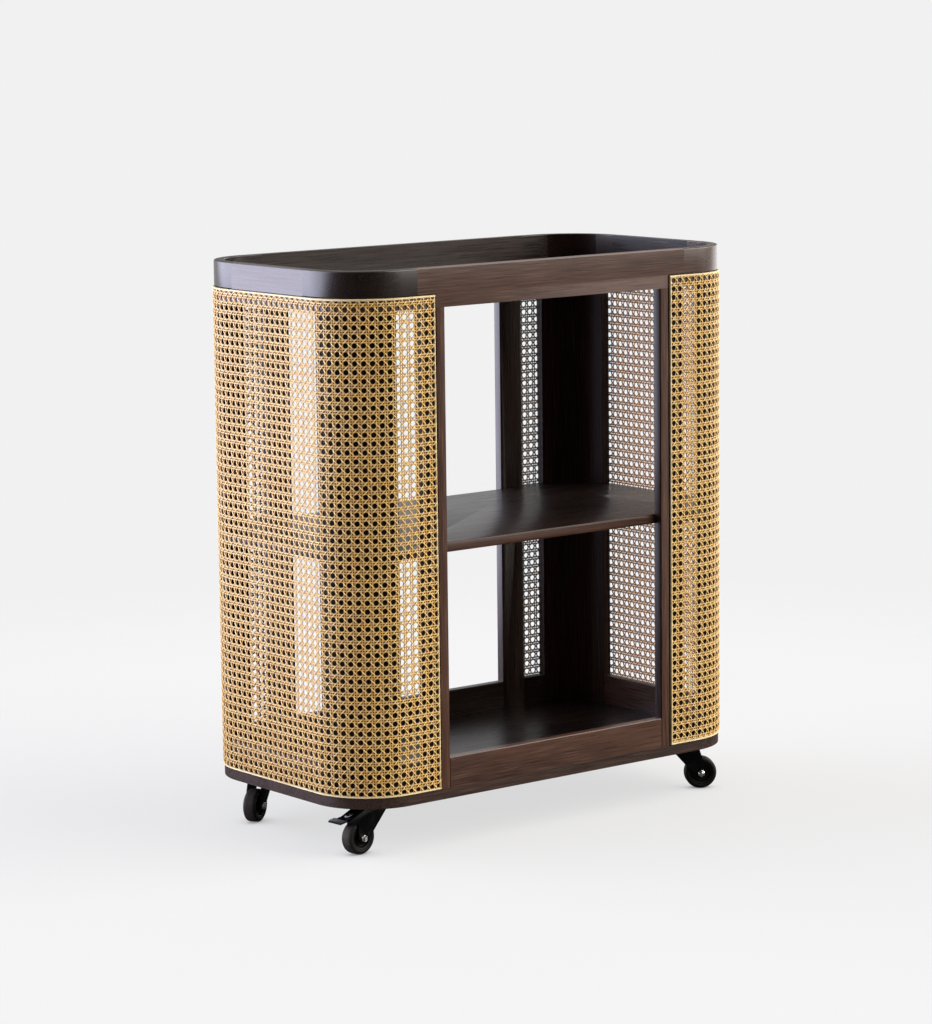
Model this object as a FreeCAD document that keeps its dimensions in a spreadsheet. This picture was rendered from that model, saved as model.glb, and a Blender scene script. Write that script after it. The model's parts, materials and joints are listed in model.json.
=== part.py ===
"""Bar cart: a rounded wooden carcass with a tray top, open front and back,
woven cane wrapped round both ends, and four swivel casters.

Frame: millimetres, +Z up, X along the length, front at -Y, origin on the floor
under the middle of the cart.
"""
import FreeCAD
import Part
import Sketcher
import math
import os

Vector = FreeCAD.Vector

# Driving sizes: name, value, meaning
DRIVING_SIZES = [
    ("length", 750.0, "length of the boards"),
    ("depth", 397.0, "depth of the boards"),
    ("height", 848.0, "floor to the top of the rim"),
    ("corner_radius", 95.0, "outside radius of the four corners in plan"),
    ("wall", 15.5, "thickness of rim, stiles, rails and corner panels"),
    ("base_thickness", 15.5, "base board at its rebated edge"),
    ("field_rise", 0.5, "raised field of the base and tray boards, which locates what stands round it"),
    ("top_thickness", 15.5, "tray floor board at its rebated edge"),
    ("rim_height", 42.0, "rim above the tray floor"),
    ("rim_leg_front", 26.5, "straight leg of a rim corner along the front or back"),
    ("rim_leg_end", 16.0, "straight leg of a rim corner along an end"),
    ("flat_run", 32.0, "straight stretch between a stile and the rounded corner"),
    ("stile_width", 43.0, "width of a stile, cane-covered part included"),
    ("rail_height", 45.0, "gallery rails above the base board"),
    ("panel_edge_angle", 7.5, "degrees from the corner's tangent to a panel edge"),
    ("shelf_top", 447.5, "floor to the top of the middle shelf"),
    ("shelf_thickness", 14.5, "middle shelf"),
    ("edge_ease", 1.2, "bevel that eases the wooden edges"),
    ("fit_gap", 0.2, "play between curved faces that seat on each other"),
    ("tongue_width", 25.0, "shelf tongue in a stile's mortise"),
    ("tongue_depth", 6.0, "shelf tongue in a stile's mortise"),
    ("tongue_thickness", 8.0, "shelf tongue in a stile's mortise"),
    ("bare_stile", 16.5, "stile left bare beside the opening, up to the cane's spline"),
    ("cane_thickness", 2.0, "woven cane sheet"),
    ("cane_gap", 0.3, "cane to wood"),
    ("cane_columns", 3, "openings across the flat end of the cane, where nothing backs its mesh"),
    ("cane_rows", 6, "openings up the cane"),
    ("cane_upright_bar", 32.0, "cane left between two columns of openings"),
    ("cane_level_bar", 56.0, "cane left between two rows of openings"),
    ("cane_margin", 4.0, "cane left on both sides of the opening over a flat run"),
    ("groove_width", 4.0, "groove for the reed spline"),
    ("groove_depth", 3.5, "groove for the reed spline"),
    ("spline_proud", 2.8, "reed spline outside the wooden face"),
    ("caster_inset_x", 70.0, "swivel axis from the end of the base board"),
    ("caster_inset_y", 61.5, "swivel axis from the front or back of the base board"),
    ("caster_trail", 26.0, "axle behind the swivel axis"),
    ("swivel_front_left", -175.0, "degrees, trailing direction"),
    ("swivel_front_right", -33.0, "degrees, trailing direction"),
    ("swivel_back_left", -150.0, "degrees, trailing direction"),
    ("swivel_back_right", 5.0, "degrees, trailing direction"),
    ("plate_length", 60.0, "caster plate"),
    ("plate_width", 48.0, "caster plate"),
    ("plate_sheet", 2.5, "caster plate sheet"),
    ("plate_corner", 6.0, "cut-off corners of the caster plate"),
    ("swivel_gap", 0.3, "running gap of the swivel"),
    ("tyre_headroom", 18.5, "tyre to the fork's top sheet"),
    ("kingpin_diameter", 8.0, "swivel pin"),
    ("kingpin_head_across", 15.0, "swivel pin's hexagon head, corner to corner"),
    ("kingpin_head_height", 3.0, "swivel pin head"),
    ("pin_play", 0.05, "radial running play of pins and axles"),
    ("fork_sheet", 2.2, "fork sheet"),
    ("wheel_side_gap", 0.6, "wheel to fork leg"),
    ("fork_front", 19.0, "fork top, ahead of the swivel axis"),
    ("fork_back", 21.0, "fork top, behind the swivel axis"),
    ("fork_front_drop", 9.0, "straight front edge below the fork top"),
    ("fork_foot_half", 9.5, "half width of a leg at the axle"),
    ("fork_foot_drop", 8.5, "leg below the axle"),
    ("fork_bend", 1.5, "bevel along the fork's bent shoulders"),
    ("hood_reach", 30.0, "brake hood behind the axle"),
    ("hood_drop", 17.7, "top of the hood's end below the fork top"),
    ("hood_depth", 5.5, "height of the hood's end"),
    ("hood_slope_start", 14.0, "where the hood's top edge starts to fall"),
    ("wheel_diameter", 50.0, "caster wheel"),
    ("wheel_width", 20.0, "caster wheel over the tread"),
    ("axle_diameter", 6.0, "axle bolt"),
    ("nut_across", 11.5, "hexagon, corner to corner"),
    ("nut_height", 4.5, "hexagon head and nut"),
    ("pedal_pivot_x", 16.0, "pedal pin behind the swivel axis"),
    ("pedal_pivot_drop", 11.2, "pedal pin below the fork top"),
    ("pedal_pin_diameter", 4.0, "pedal pin"),
    ("pedal_knuckle_radius", 4.2, "rolled eye of the pedal"),
    ("pedal_sheet", 2.2, "pedal sheet"),
    ("pedal_width", 19.0, "pedal between the hood's sides"),
    ("pedal_tip_drop", 16.2, "top of the pedal's tip below the fork top"),
    ("pedal_pad_gap", 2.0, "hood's end to the foot pad"),
    ("pedal_pad_length", 13.0, "foot pad"),
    ("pedal_pad_width", 27.0, "foot pad"),
    ("pedal_rib", 1.2, "ribs across the foot pad"),
    ("pedal_rib_count", 3, "ribs across the foot pad"),
    ("shoe_start", 5.0, "brake shoe behind the axle"),
    ("shoe_length", 7.0, "brake shoe"),
    ("shoe_width", 14.0, "brake shoe"),
    ("shoe_gap", 2.2, "brake shoe above the tyre, pedal up"),
    ("shoe_height", 7.0, "brake shoe"),
]

# Sizes that follow from the driving ones: name, formula, meaning
FOLLOWING_SIZES = [
    ("opening_width", "=length - 2 * (corner_radius + flat_run + stile_width)",
     "clear width between the stiles"),
    ("caster_x", "=length / 2 - caster_inset_x", "swivel axis from the middle, along the length"),
    ("caster_y", "=depth / 2 - caster_inset_y", "swivel axis from the middle, along the depth"),
]

doc = FreeCAD.newDocument("bar_cart")
sheet = doc.addObject("Spreadsheet::Sheet", "Sizes")
for row, (alias, value, meaning) in enumerate(DRIVING_SIZES + FOLLOWING_SIZES, start=1):
    sheet.set(f"A{row}", meaning)
    sheet.set(f"B{row}", str(value))
    sheet.setAlias(f"B{row}", alias)
doc.recompute()

# Levels and places that several pieces share, as expressions on the sheet
HALF_DEPTH = "(Sizes.depth / 2)"
TANGENT_X = "(Sizes.length / 2 - Sizes.corner_radius)"
TANGENT_Y = "(Sizes.depth / 2 - Sizes.corner_radius)"
INNER_Y = "(Sizes.depth / 2 - Sizes.wall)"
FORK_TOP = "(Sizes.wheel_diameter + Sizes.tyre_headroom + Sizes.fork_sheet)"
PLATE_BOTTOM = f"({FORK_TOP} + Sizes.swivel_gap)"
BASE_BOTTOM = f"({PLATE_BOTTOM} + Sizes.plate_sheet)"
BASE_TOP = f"({BASE_BOTTOM} + Sizes.base_thickness)"
RIM_BOTTOM = "(Sizes.height - Sizes.rim_height)"
TOP_BOTTOM = "(Sizes.height - Sizes.rim_height - Sizes.top_thickness)"
WALL_HEIGHT = f"({TOP_BOTTOM} - {BASE_TOP})"
SHELF_BOTTOM = "(Sizes.shelf_top - Sizes.shelf_thickness)"
STILE_INNER = "(Sizes.opening_width / 2)"
STILE_OUTER = "(Sizes.opening_width / 2 + Sizes.stile_width)"
REED_INNER = "(Sizes.opening_width / 2 + Sizes.bare_stile)"
REED_OUTER = "(Sizes.opening_width / 2 + Sizes.bare_stile + Sizes.groove_width)"
CANE_FOOT = f"({BASE_TOP} + Sizes.groove_width)"
CANE_HEIGHT = f"({RIM_BOTTOM} - {CANE_FOOT})"
RIM_JOINT_X = f"({TANGENT_X} - Sizes.rim_leg_front)"
RIM_JOINT_Y = f"({TANGENT_Y} - Sizes.rim_leg_end)"
AXLE_Z = "(Sizes.wheel_diameter / 2)"
FORK_GAP = "(Sizes.wheel_width + 2 * Sizes.wheel_side_gap)"
FORK_WIDTH = "(Sizes.wheel_width + 2 * Sizes.wheel_side_gap + 2 * Sizes.fork_sheet)"
PEDAL_Z = f"({FORK_TOP} - Sizes.pedal_pivot_drop)"

# The four corners: name, side along X, side along Y, start of the quarter turn
CORNERS = [
    ("back_right", 1, 1, 0),
    ("back_left", -1, 1, 90),
    ("front_left", -1, -1, 180),
    ("front_right", 1, -1, 270),
]
BRAKED_CASTERS = ("front_left", "back_right")

pieces = []


def size(alias):
    """Read one driving size from the sheet."""
    return float(sheet.get(alias))


def piece(label, item):
    """Name a finished sub-part and keep it for export."""
    item.Label = label
    pieces.append(item)
    return item


def place(item, x="0", y="0", z="0", turn=None):
    """Bind an object's position, and its turn about Z in degrees."""
    if turn is not None:
        item.Placement = FreeCAD.Placement(Vector(), FreeCAD.Rotation(Vector(0, 0, 1), 1))
        item.setExpression("Placement.Rotation.Angle", turn)
    for axis, expression in (("x", x), ("y", y), ("z", z)):
        item.setExpression(f"Placement.Base.{axis}", expression)
    return item


def block(name, spans, corner):
    """Make a box from its three spans and its low corner."""
    box = doc.addObject("Part::Box", name)
    for prop, expression in zip(("Length", "Width", "Height"), spans):
        box.setExpression(prop, expression)
    return place(box, *corner)


def upright(name, radius, height, foot, span="360", turn="0"):
    """Make a cylinder, or a wedge of one, standing on its foot point."""
    cylinder = doc.addObject("Part::Cylinder", name)
    cylinder.setExpression("Radius", radius)
    cylinder.setExpression("Height", height)
    cylinder.setExpression("Angle", span)
    return place(cylinder, *foot, turn=turn)


def lying(name, radius, length, centre):
    """Make a cylinder along Y, centred on a point."""
    cylinder = doc.addObject("Part::Cylinder", name)
    cylinder.setExpression("Radius", radius)
    cylinder.setExpression("Height", length)
    cylinder.Placement.Rotation = FreeCAD.Rotation(Vector(1, 0, 0), -90)
    x, y, z = centre
    cylinder.setExpression("Placement.Base.x", x)
    cylinder.setExpression("Placement.Base.y", f"({y}) - ({length}) / 2")
    cylinder.setExpression("Placement.Base.z", z)
    return cylinder


def cut(name, base, tools):
    """Take tools away from a base."""
    result = doc.addObject("Part::Cut", name)
    result.Base = base
    result.Tool = tools[0] if len(tools) == 1 else fuse(name + "_tools", tools)
    return result


def fuse(name, items):
    """Join items into one."""
    result = doc.addObject("Part::MultiFuse", name)
    result.Shapes = items
    return result


def overlap(name, items):
    """Keep what items share."""
    result = doc.addObject("Part::MultiCommon", name)
    result.Shapes = items
    return result


def group(name, items):
    """Keep separate solids together as one sub-part."""
    result = doc.addObject("Part::Compound", name)
    result.Links = items
    return result


def ease(name, base, bevel, wanted):
    """Bevel the edges of a base that the test wanted picks."""
    doc.recompute()
    picked = [i for i, edge in enumerate(base.Shape.Edges, start=1) if wanted(edge)]
    result = doc.addObject("Part::Chamfer", name)
    result.Base = base
    result.Edges = [(i, bevel, bevel) for i in picked]
    return result


def middle(edge):
    """Point half-way along an edge."""
    first, last = edge.ParameterRange
    return edge.valueAt((first + last) / 2)


def outward(point):
    """Distance of a point outside the cart's rounded outline."""
    past_x = max(abs(point.x) - size("length") / 2 + size("corner_radius"), 0)
    past_y = max(abs(point.y) - size("depth") / 2 + size("corner_radius"), 0)
    return math.hypot(past_x, past_y) - size("corner_radius")


def near(a, b):
    """Tell whether two lengths agree."""
    return abs(a - b) < 0.01


def plane(body, role):
    """Find one of a body's own origin planes."""
    return next(item for item in body.Origin.OriginFeatures if item.Role == role)


def new_sketch(body, role):
    """Start a sketch on one of a body's origin planes."""
    sketch = body.newObject("Sketcher::SketchObject", body.Name + "_sketch")
    sketch.AttachmentSupport = (plane(body, role), [""])
    sketch.MapMode = "FlatFace"
    return sketch


def dimension(sketch, name, expression, *constraint):
    """Add a named dimension that follows an expression."""
    index = sketch.addConstraint(Sketcher.Constraint(*constraint))
    sketch.renameConstraint(index, name)
    sketch.setExpression(f"Constraints.{name}", expression)


def rounded_board(name, grow, thickness, bottom):
    """Pad the cart's rounded outline, grown on every side."""
    body = doc.addObject("PartDesign::Body", name)
    sketch = new_sketch(body, "XY_Plane")
    half_x = size("length") / 2
    half_y = size("depth") / 2
    radius = size("corner_radius")
    flat_x = half_x - radius
    flat_y = half_y - radius
    sides = [
        ((-flat_x, -half_y), (flat_x, -half_y)),
        ((half_x, -flat_y), (half_x, flat_y)),
        ((flat_x, half_y), (-flat_x, half_y)),
        ((-half_x, flat_y), (-half_x, -flat_y)),
    ]
    centres = [(flat_x, -flat_y), (flat_x, flat_y), (-flat_x, flat_y), (-flat_x, -flat_y)]
    lines = [sketch.addGeometry(Part.LineSegment(Vector(*a), Vector(*b))) for a, b in sides]
    arcs = []
    for quarter, centre in enumerate(centres):
        circle = Part.Circle(Vector(*centre), Vector(0, 0, 1), radius)
        start = math.radians(90 * quarter - 90)
        arcs.append(sketch.addGeometry(Part.ArcOfCircle(circle, start, start + math.pi / 2)))
    for side in range(4):
        sketch.addConstraint(Sketcher.Constraint("Tangent", lines[side], 2, arcs[side], 1))
        sketch.addConstraint(Sketcher.Constraint("Tangent", arcs[side], 2, lines[(side + 1) % 4], 1))
        direction = "Vertical" if side % 2 else "Horizontal"
        sketch.addConstraint(Sketcher.Constraint(direction, lines[side]))
    for arc in arcs[1:]:
        sketch.addConstraint(Sketcher.Constraint("Equal", arcs[0], arc))
    sketch.addConstraint(Sketcher.Constraint("Symmetric", arcs[0], 3, arcs[2], 3, -1, 1))
    dimension(sketch, "across", f"Sizes.length + 2 * ({grow})",
              "DistanceX", lines[3], 1, lines[1], 1, 2 * half_x)
    dimension(sketch, "deep", f"Sizes.depth + 2 * ({grow})",
              "DistanceY", lines[0], 1, lines[2], 1, 2 * half_y)
    dimension(sketch, "corner", f"Sizes.corner_radius + ({grow})", "Radius", arcs[0], radius)
    pad = body.newObject("PartDesign::Pad", name + "_pad")
    pad.Profile = sketch
    pad.setExpression("Length", thickness)
    return place(body, z=bottom)


def band(name, outer, inner, height, bottom):
    """Make a closed band between two grown outlines."""
    outside = rounded_board(name + "_outside", outer, height, bottom)
    inside = rounded_board(name + "_inside", inner, height, bottom)
    return cut(name, outside, [inside])


def side_profile(name, points, width):
    """Pad an outline drawn in the XZ plane to both sides of that plane."""
    body = doc.addObject("PartDesign::Body", name)
    sketch = new_sketch(body, "XZ_Plane")
    reach = size("caster_trail")
    spots = [Vector(reach * math.cos(2 * math.pi * i / len(points)),
                    reach * math.sin(2 * math.pi * i / len(points)))
             for i in range(len(points))]
    lines = [sketch.addGeometry(Part.LineSegment(spots[i - 1], spots[i])) for i in range(len(points))]
    for i in range(len(points)):
        sketch.addConstraint(Sketcher.Constraint("Coincident", lines[i - 1], 2, lines[i], 1))
    for i, (x, z) in enumerate(points):
        dimension(sketch, f"x{i}_at", x, "DistanceX", -1, 1, lines[i], 2, spots[i].x)
        dimension(sketch, f"z{i}_at", z, "DistanceY", -1, 1, lines[i], 2, spots[i].y)
    pad = body.newObject("PartDesign::Pad", name + "_pad")
    pad.Profile = sketch
    pad.SideType = "Symmetric"
    pad.setExpression("Length", width)
    return body


def signed(side, expression):
    """Put an expression on one side of the middle."""
    return expression if side > 0 else f"-({expression})"


def low_edge(side, near_edge, far_edge):
    """Low end of a span between two distances on one side of the middle."""
    return near_edge if side > 0 else f"-({far_edge})"


def fielded_board(name, thickness, bottom):
    """Make a full-outline board with a raised field inside the wall that stands on its edge."""
    edge = rounded_board(name + "_edge", "0", thickness, bottom)
    inset = "(Sizes.wall + Sizes.fit_gap)"
    blank = block(name + "_field_blank",
                  (f"Sizes.length - 2 * {inset}", f"Sizes.depth - 2 * {inset}", "Sizes.field_rise"),
                  (f"{inset} - Sizes.length / 2", f"{inset} - {HALF_DEPTH}", f"({bottom}) + {thickness}"))
    field = ease(name + "_field", blank, size("corner_radius") - size("wall") - size("fit_gap"),
                 lambda edge: near(edge.Length, size("field_rise")))
    return fuse(name, [edge, field])


# Boards
piece("base_board", fielded_board("base_board_blank", "Sizes.base_thickness", BASE_BOTTOM))
tray_floor_blank = fielded_board("tray_floor_blank", "Sizes.top_thickness", TOP_BOTTOM)

# Curved wedges that the corner panels fill, shared by every piece cut to meet them
PANEL_SPAN = "(90 - 2 * Sizes.panel_edge_angle)"
wedges = {}
for corner, side_x, side_y, quarter in CORNERS:
    wedges[corner] = upright(f"wedge_{corner}", "Sizes.corner_radius * 2", "Sizes.height",
                             (signed(side_x, TANGENT_X), signed(side_y, TANGENT_Y), "0"),
                             PANEL_SPAN, f"{quarter} + Sizes.panel_edge_angle")

# Standing wall band with the spline's rebate round its foot
wall_blank = band("wall_blank", "0", "-Sizes.wall", WALL_HEIGHT, BASE_TOP)
foot_rebate = band("foot_rebate", "Sizes.wall", "-Sizes.groove_depth", "Sizes.groove_width", BASE_TOP)
wall_band = cut("wall_band", wall_blank, [foot_rebate])

for corner, side_x, side_y, quarter in CORNERS:
    piece(f"corner_panel_{corner}", overlap(f"panel_{corner}", [wall_band, wedges[corner]]))

# Stiles with the groove for the upright spline and a mortise for the shelf's tongue
STILE_SIZE = ("Sizes.stile_width", "Sizes.wall", WALL_HEIGHT)
GROOVE_FACE = f"({HALF_DEPTH} - Sizes.groove_depth)"
GROOVE_CLEAR = f"({HALF_DEPTH} + Sizes.groove_depth)"
TONGUE_INNER = "(Sizes.opening_width / 2 + Sizes.stile_width / 2 - Sizes.tongue_width / 2)"
TONGUE_OUTER = "(Sizes.opening_width / 2 + Sizes.stile_width / 2 + Sizes.tongue_width / 2)"
TONGUE_ROOT = f"({INNER_Y} - Sizes.tongue_depth)"
TONGUE_END = f"({INNER_Y} + Sizes.tongue_depth)"
TONGUE_Z = "(Sizes.shelf_top - Sizes.shelf_thickness / 2 - Sizes.tongue_thickness / 2)"
tongues = []
grooves = []
for corner, side_x, side_y, quarter in CORNERS:
    tongues.append(block(f"tongue_{corner}",
                         ("Sizes.tongue_width", "2 * Sizes.tongue_depth", "Sizes.tongue_thickness"),
                         (low_edge(side_x, TONGUE_INNER, TONGUE_OUTER),
                          low_edge(side_y, TONGUE_ROOT, TONGUE_END), TONGUE_Z)))
    grooves.append(block(f"stile_groove_{corner}",
                         ("Sizes.groove_width", "2 * Sizes.groove_depth", "Sizes.height"),
                         (low_edge(side_x, REED_INNER, REED_OUTER),
                          low_edge(side_y, GROOVE_FACE, GROOVE_CLEAR), "0")))
    blank = block(f"stile_blank_{corner}", STILE_SIZE,
                  (low_edge(side_x, STILE_INNER, STILE_OUTER),
                   low_edge(side_y, INNER_Y, HALF_DEPTH), BASE_TOP))
    foot = block(f"stile_foot_{corner}",
                 ("Sizes.stile_width", "2 * Sizes.groove_depth", "Sizes.groove_width"),
                 (low_edge(side_x, REED_INNER, f"{REED_INNER} + Sizes.stile_width"),
                  low_edge(side_y, GROOVE_FACE, GROOVE_CLEAR), BASE_TOP))
    shaped = cut(f"stile_shaped_{corner}", blank, [grooves[-1], foot, tongues[-1]])
    piece(f"stile_{corner}",
          ease(f"stile_eased_{corner}", shaped, size("edge_ease"),
               lambda edge, side=side_x: near(middle(edge).x, side * size("opening_width") / 2)
               and abs(edge.tangentAt(edge.FirstParameter).z) > 0.9))
piece("tray_floor", cut("tray_floor_grooved", tray_floor_blank, grooves))

# Middle shelf, notched round the stiles and the corner panels
shelf_notches = []
for side, name in ((-1, "front"), (1, "back")):
    shelf_notches.append(block(f"shelf_notch_{name}",
                               (f"2 * {STILE_OUTER}", "2 * Sizes.wall", "Sizes.height"),
                               (f"-{STILE_OUTER}",
                                low_edge(side, INNER_Y, f"{INNER_Y} + 2 * Sizes.wall"), "0")))
for corner, side_x, side_y, quarter in CORNERS:
    core = upright(f"shelf_core_{corner}", "Sizes.corner_radius - Sizes.wall - Sizes.fit_gap", "Sizes.height",
                   (signed(side_x, TANGENT_X), signed(side_y, TANGENT_Y), "0"))
    shelf_notches.append(cut(f"shelf_notch_{corner}", wedges[corner], [core]))
shelf_blank = rounded_board("shelf_blank", "0", "Sizes.shelf_thickness", SHELF_BOTTOM)
shelf_notched = cut("shelf_notched", shelf_blank, shelf_notches)
shelf_shaped = fuse("shelf_shaped", [shelf_notched] + tongues)
piece("middle_shelf",
      ease("shelf_eased", shelf_shaped, size("edge_ease"),
           lambda edge: edge.Length > size("opening_width")))

# Gallery rails on the base board: front and back between the stiles, ends and
# short filling rails between stiles and corner panels
for side, name in ((-1, "front"), (1, "back")):
    rail = block(f"gallery_blank_{name}", ("Sizes.opening_width", "Sizes.wall", "Sizes.rail_height"),
                 (f"-{STILE_INNER}", low_edge(side, INNER_Y, HALF_DEPTH), BASE_TOP))
    piece(f"bottom_rail_{name}",
          ease(f"bottom_rail_eased_{name}", rail, size("edge_ease"),
               lambda edge: edge.Length > size("wall") and near(middle(edge).z, rail.Shape.BoundBox.ZMax)))
MID_CORNER_X = f"({TANGENT_X} + Sizes.corner_radius / 2)"
MID_CORNER_Y = f"({TANGENT_Y} + Sizes.corner_radius / 2)"
for side, name in ((-1, "left"), (1, "right")):
    reach = block(f"end_rail_reach_{name}",
                  ("Sizes.corner_radius", f"2 * {MID_CORNER_Y}", "Sizes.rail_height"),
                  (low_edge(side, MID_CORNER_X, f"{MID_CORNER_X} + Sizes.corner_radius"),
                   f"-{MID_CORNER_Y}", BASE_TOP))
    stretch = overlap(f"end_rail_stretch_{name}", [wall_band, reach])
    piece(f"bottom_rail_{name}",
          cut(f"end_rail_{name}", stretch, [wedges[f"front_{name}"], wedges[f"back_{name}"]]))
filling_rails = []
for corner, side_x, side_y, quarter in CORNERS:
    reach = block(f"filling_reach_{corner}",
                  (f"{MID_CORNER_X} - {STILE_OUTER}", "Sizes.corner_radius", "Sizes.rail_height"),
                  (low_edge(side_x, STILE_OUTER, MID_CORNER_X),
                   low_edge(side_y, MID_CORNER_Y, f"{MID_CORNER_Y} + Sizes.corner_radius"), BASE_TOP))
    stretch = overlap(f"filling_stretch_{corner}", [wall_band, reach])
    filling_rails.append(cut(f"filling_{corner}", stretch, [wedges[corner]]))
piece("filling_rails", group("filling_rail_set", filling_rails))

# Tray rim: eight butted lengths, rebated below where the cane's spline runs
rim_blank = band("rim_blank", "0", "-Sizes.wall", "Sizes.rim_height", RIM_BOTTOM)
rim_rebate_ring = band("rim_rebate_ring", "Sizes.wall", "-Sizes.groove_depth",
                       "Sizes.groove_width", RIM_BOTTOM)
bare_middle = block("bare_middle", (f"2 * {REED_INNER}", "2 * Sizes.depth", "Sizes.height"),
                    (f"-{REED_INNER}", "-Sizes.depth", "0"))
rim_rebate = cut("rim_rebate", rim_rebate_ring, [bare_middle])
rim_band = cut("rim_band", rim_blank, [rim_rebate])


def eased_rim(name, item):
    """Ease the rim's outer top edge."""
    return ease(name, item, size("edge_ease"),
                lambda edge: near(middle(edge).z, size("height")) and near(outward(middle(edge)), 0))


for side, name in ((-1, "front"), (1, "back")):
    reach = block(f"rim_reach_{name}", (f"2 * {RIM_JOINT_X}", "Sizes.depth", "Sizes.height"),
                  (f"-{RIM_JOINT_X}", low_edge(side, TANGENT_Y, f"{TANGENT_Y} + Sizes.depth"), "0"))
    piece(f"rim_{name}", eased_rim(f"rim_eased_{name}", overlap(f"rim_length_{name}", [rim_band, reach])))
for side, name in ((-1, "left"), (1, "right")):
    reach = block(f"rim_reach_{name}", ("Sizes.length", f"2 * {RIM_JOINT_Y}", "Sizes.height"),
                  (low_edge(side, TANGENT_X, f"{TANGENT_X} + Sizes.length"), f"-{RIM_JOINT_Y}", "0"))
    piece(f"rim_{name}", eased_rim(f"rim_eased_{name}", overlap(f"rim_length_{name}", [rim_band, reach])))
rim_corners = []
for corner, side_x, side_y, quarter in CORNERS:
    reach = block(f"rim_reach_{corner}", ("Sizes.length", "Sizes.depth", "Sizes.height"),
                  (low_edge(side_x, RIM_JOINT_X, f"{RIM_JOINT_X} + Sizes.length"),
                   low_edge(side_y, RIM_JOINT_Y, f"{RIM_JOINT_Y} + Sizes.depth"), "0"))
    rim_corners.append(eased_rim(f"rim_eased_{corner}", overlap(f"rim_length_{corner}", [rim_band, reach])))
piece("rim_corners", group("rim_corner_set", rim_corners))

# Cane: one sheet round each end, held at its edges by a reed spline in the groove,
# with its mesh as a coarse grid of openings where no wood backs it
cane_blank = band("cane_blank", "Sizes.cane_gap + Sizes.cane_thickness", "Sizes.cane_gap",
                  CANE_HEIGHT, CANE_FOOT)
COLUMN_STEP = f"(2 * {TANGENT_Y} / Sizes.cane_columns)"
ROW_STEP = f"({CANE_HEIGHT} / Sizes.cane_rows)"
mesh_rows = [block(f"mesh_row_{row}",
                   ("2 * Sizes.length", "2 * Sizes.depth", f"{ROW_STEP} - Sizes.cane_level_bar"),
                   ("-Sizes.length", "-Sizes.depth",
                    f"{CANE_FOOT} + {row} * {ROW_STEP} + Sizes.cane_level_bar / 2"))
             for row in range(int(size("cane_rows")))]
mesh_levels = group("mesh_levels", mesh_rows)


def cane_mesh(name, side):
    """Cross columns of openings, over the flat runs and across the flat end, with the rows."""
    columns = [block(f"mesh_run_{name}",
                     ("Sizes.flat_run - 2 * Sizes.cane_margin", "2 * Sizes.depth", "Sizes.height"),
                     (low_edge(side, f"{STILE_OUTER} + Sizes.cane_margin", f"{TANGENT_X} - Sizes.cane_margin"),
                      "-Sizes.depth", "0"))]
    for column in range(int(size("cane_columns"))):
        columns.append(block(f"mesh_column_{name}_{column}",
                             ("Sizes.length", f"{COLUMN_STEP} - Sizes.cane_upright_bar", "Sizes.height"),
                             (low_edge(side, MID_CORNER_X, f"{MID_CORNER_X} + Sizes.length"),
                              f"{column} * {COLUMN_STEP} + Sizes.cane_upright_bar / 2 - {TANGENT_Y}", "0")))
    return overlap(f"mesh_{name}", [group(f"mesh_columns_{name}", columns), mesh_levels])


SPLINE_INNER = "(Sizes.fit_gap - Sizes.groove_depth)"
REED_BACK = f"({HALF_DEPTH} + {SPLINE_INNER})"
REED_FACE = f"({HALF_DEPTH} + Sizes.spline_proud)"
spline_runs = [
    band("spline_foot", "Sizes.spline_proud", SPLINE_INNER, "Sizes.groove_width", BASE_TOP),
    band("spline_head", "Sizes.spline_proud", SPLINE_INNER, "Sizes.groove_width", RIM_BOTTOM),
]
for side, name in ((-1, "left"), (1, "right")):
    reach = block(f"cane_reach_{name}", ("Sizes.length", "2 * Sizes.depth", "Sizes.height"),
                  (low_edge(side, REED_OUTER, f"{REED_OUTER} + Sizes.length"), "-Sizes.depth", "0"))
    sheet_blank = overlap(f"cane_sheet_{name}", [cane_blank, reach])
    piece(f"cane_{name}", cut(f"cane_open_{name}", sheet_blank, [cane_mesh(name, side)]))
    spline_reach = block(f"spline_reach_{name}", ("Sizes.length", "2 * Sizes.depth", "Sizes.height"),
                         (low_edge(side, REED_INNER, f"{REED_INNER} + Sizes.length"), "-Sizes.depth", "0"))
    reeds = [overlap(f"reed_{name}_{i}", [run, spline_reach]) for i, run in enumerate(spline_runs)]
    for side_y, face in ((-1, "front"), (1, "back")):
        reeds.append(block(f"reed_{name}_{face}",
                           ("Sizes.groove_width", f"{REED_FACE} - {REED_BACK}", CANE_HEIGHT),
                           (low_edge(side, REED_INNER, REED_OUTER),
                            low_edge(side_y, REED_BACK, REED_FACE), CANE_FOOT)))
    piece(f"cane_spline_{name}", group(f"cane_spline_set_{name}", reeds))


# Casters, drawn trailing along +X with the swivel axis on Z
def caster_plate(name):
    """Top plate that the screws hold to the base board, with the swivel pin riveted into it."""
    blank = block(f"plate_blank_{name}", ("Sizes.plate_length", "Sizes.plate_width", "Sizes.plate_sheet"),
                  ("-Sizes.plate_length / 2", "-Sizes.plate_width / 2", PLATE_BOTTOM))
    trimmed = ease(f"plate_trimmed_{name}", blank, size("plate_corner"),
                   lambda edge: near(edge.Length, size("plate_sheet")))
    head_top = f"({FORK_TOP} - Sizes.fork_sheet - Sizes.swivel_gap)"
    shank = upright(f"kingpin_shank_{name}", "Sizes.kingpin_diameter / 2", f"{PLATE_BOTTOM} - {head_top}",
                    ("0", "0", head_top))
    head = doc.addObject("Part::Prism", f"kingpin_head_{name}")
    head.Polygon = 6
    head.setExpression("Circumradius", "Sizes.kingpin_head_across / 2")
    head.setExpression("Height", "Sizes.kingpin_head_height")
    place(head, z=f"{head_top} - Sizes.kingpin_head_height")
    return fuse(f"plate_drawn_{name}", [trimmed, shank, head])


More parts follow.
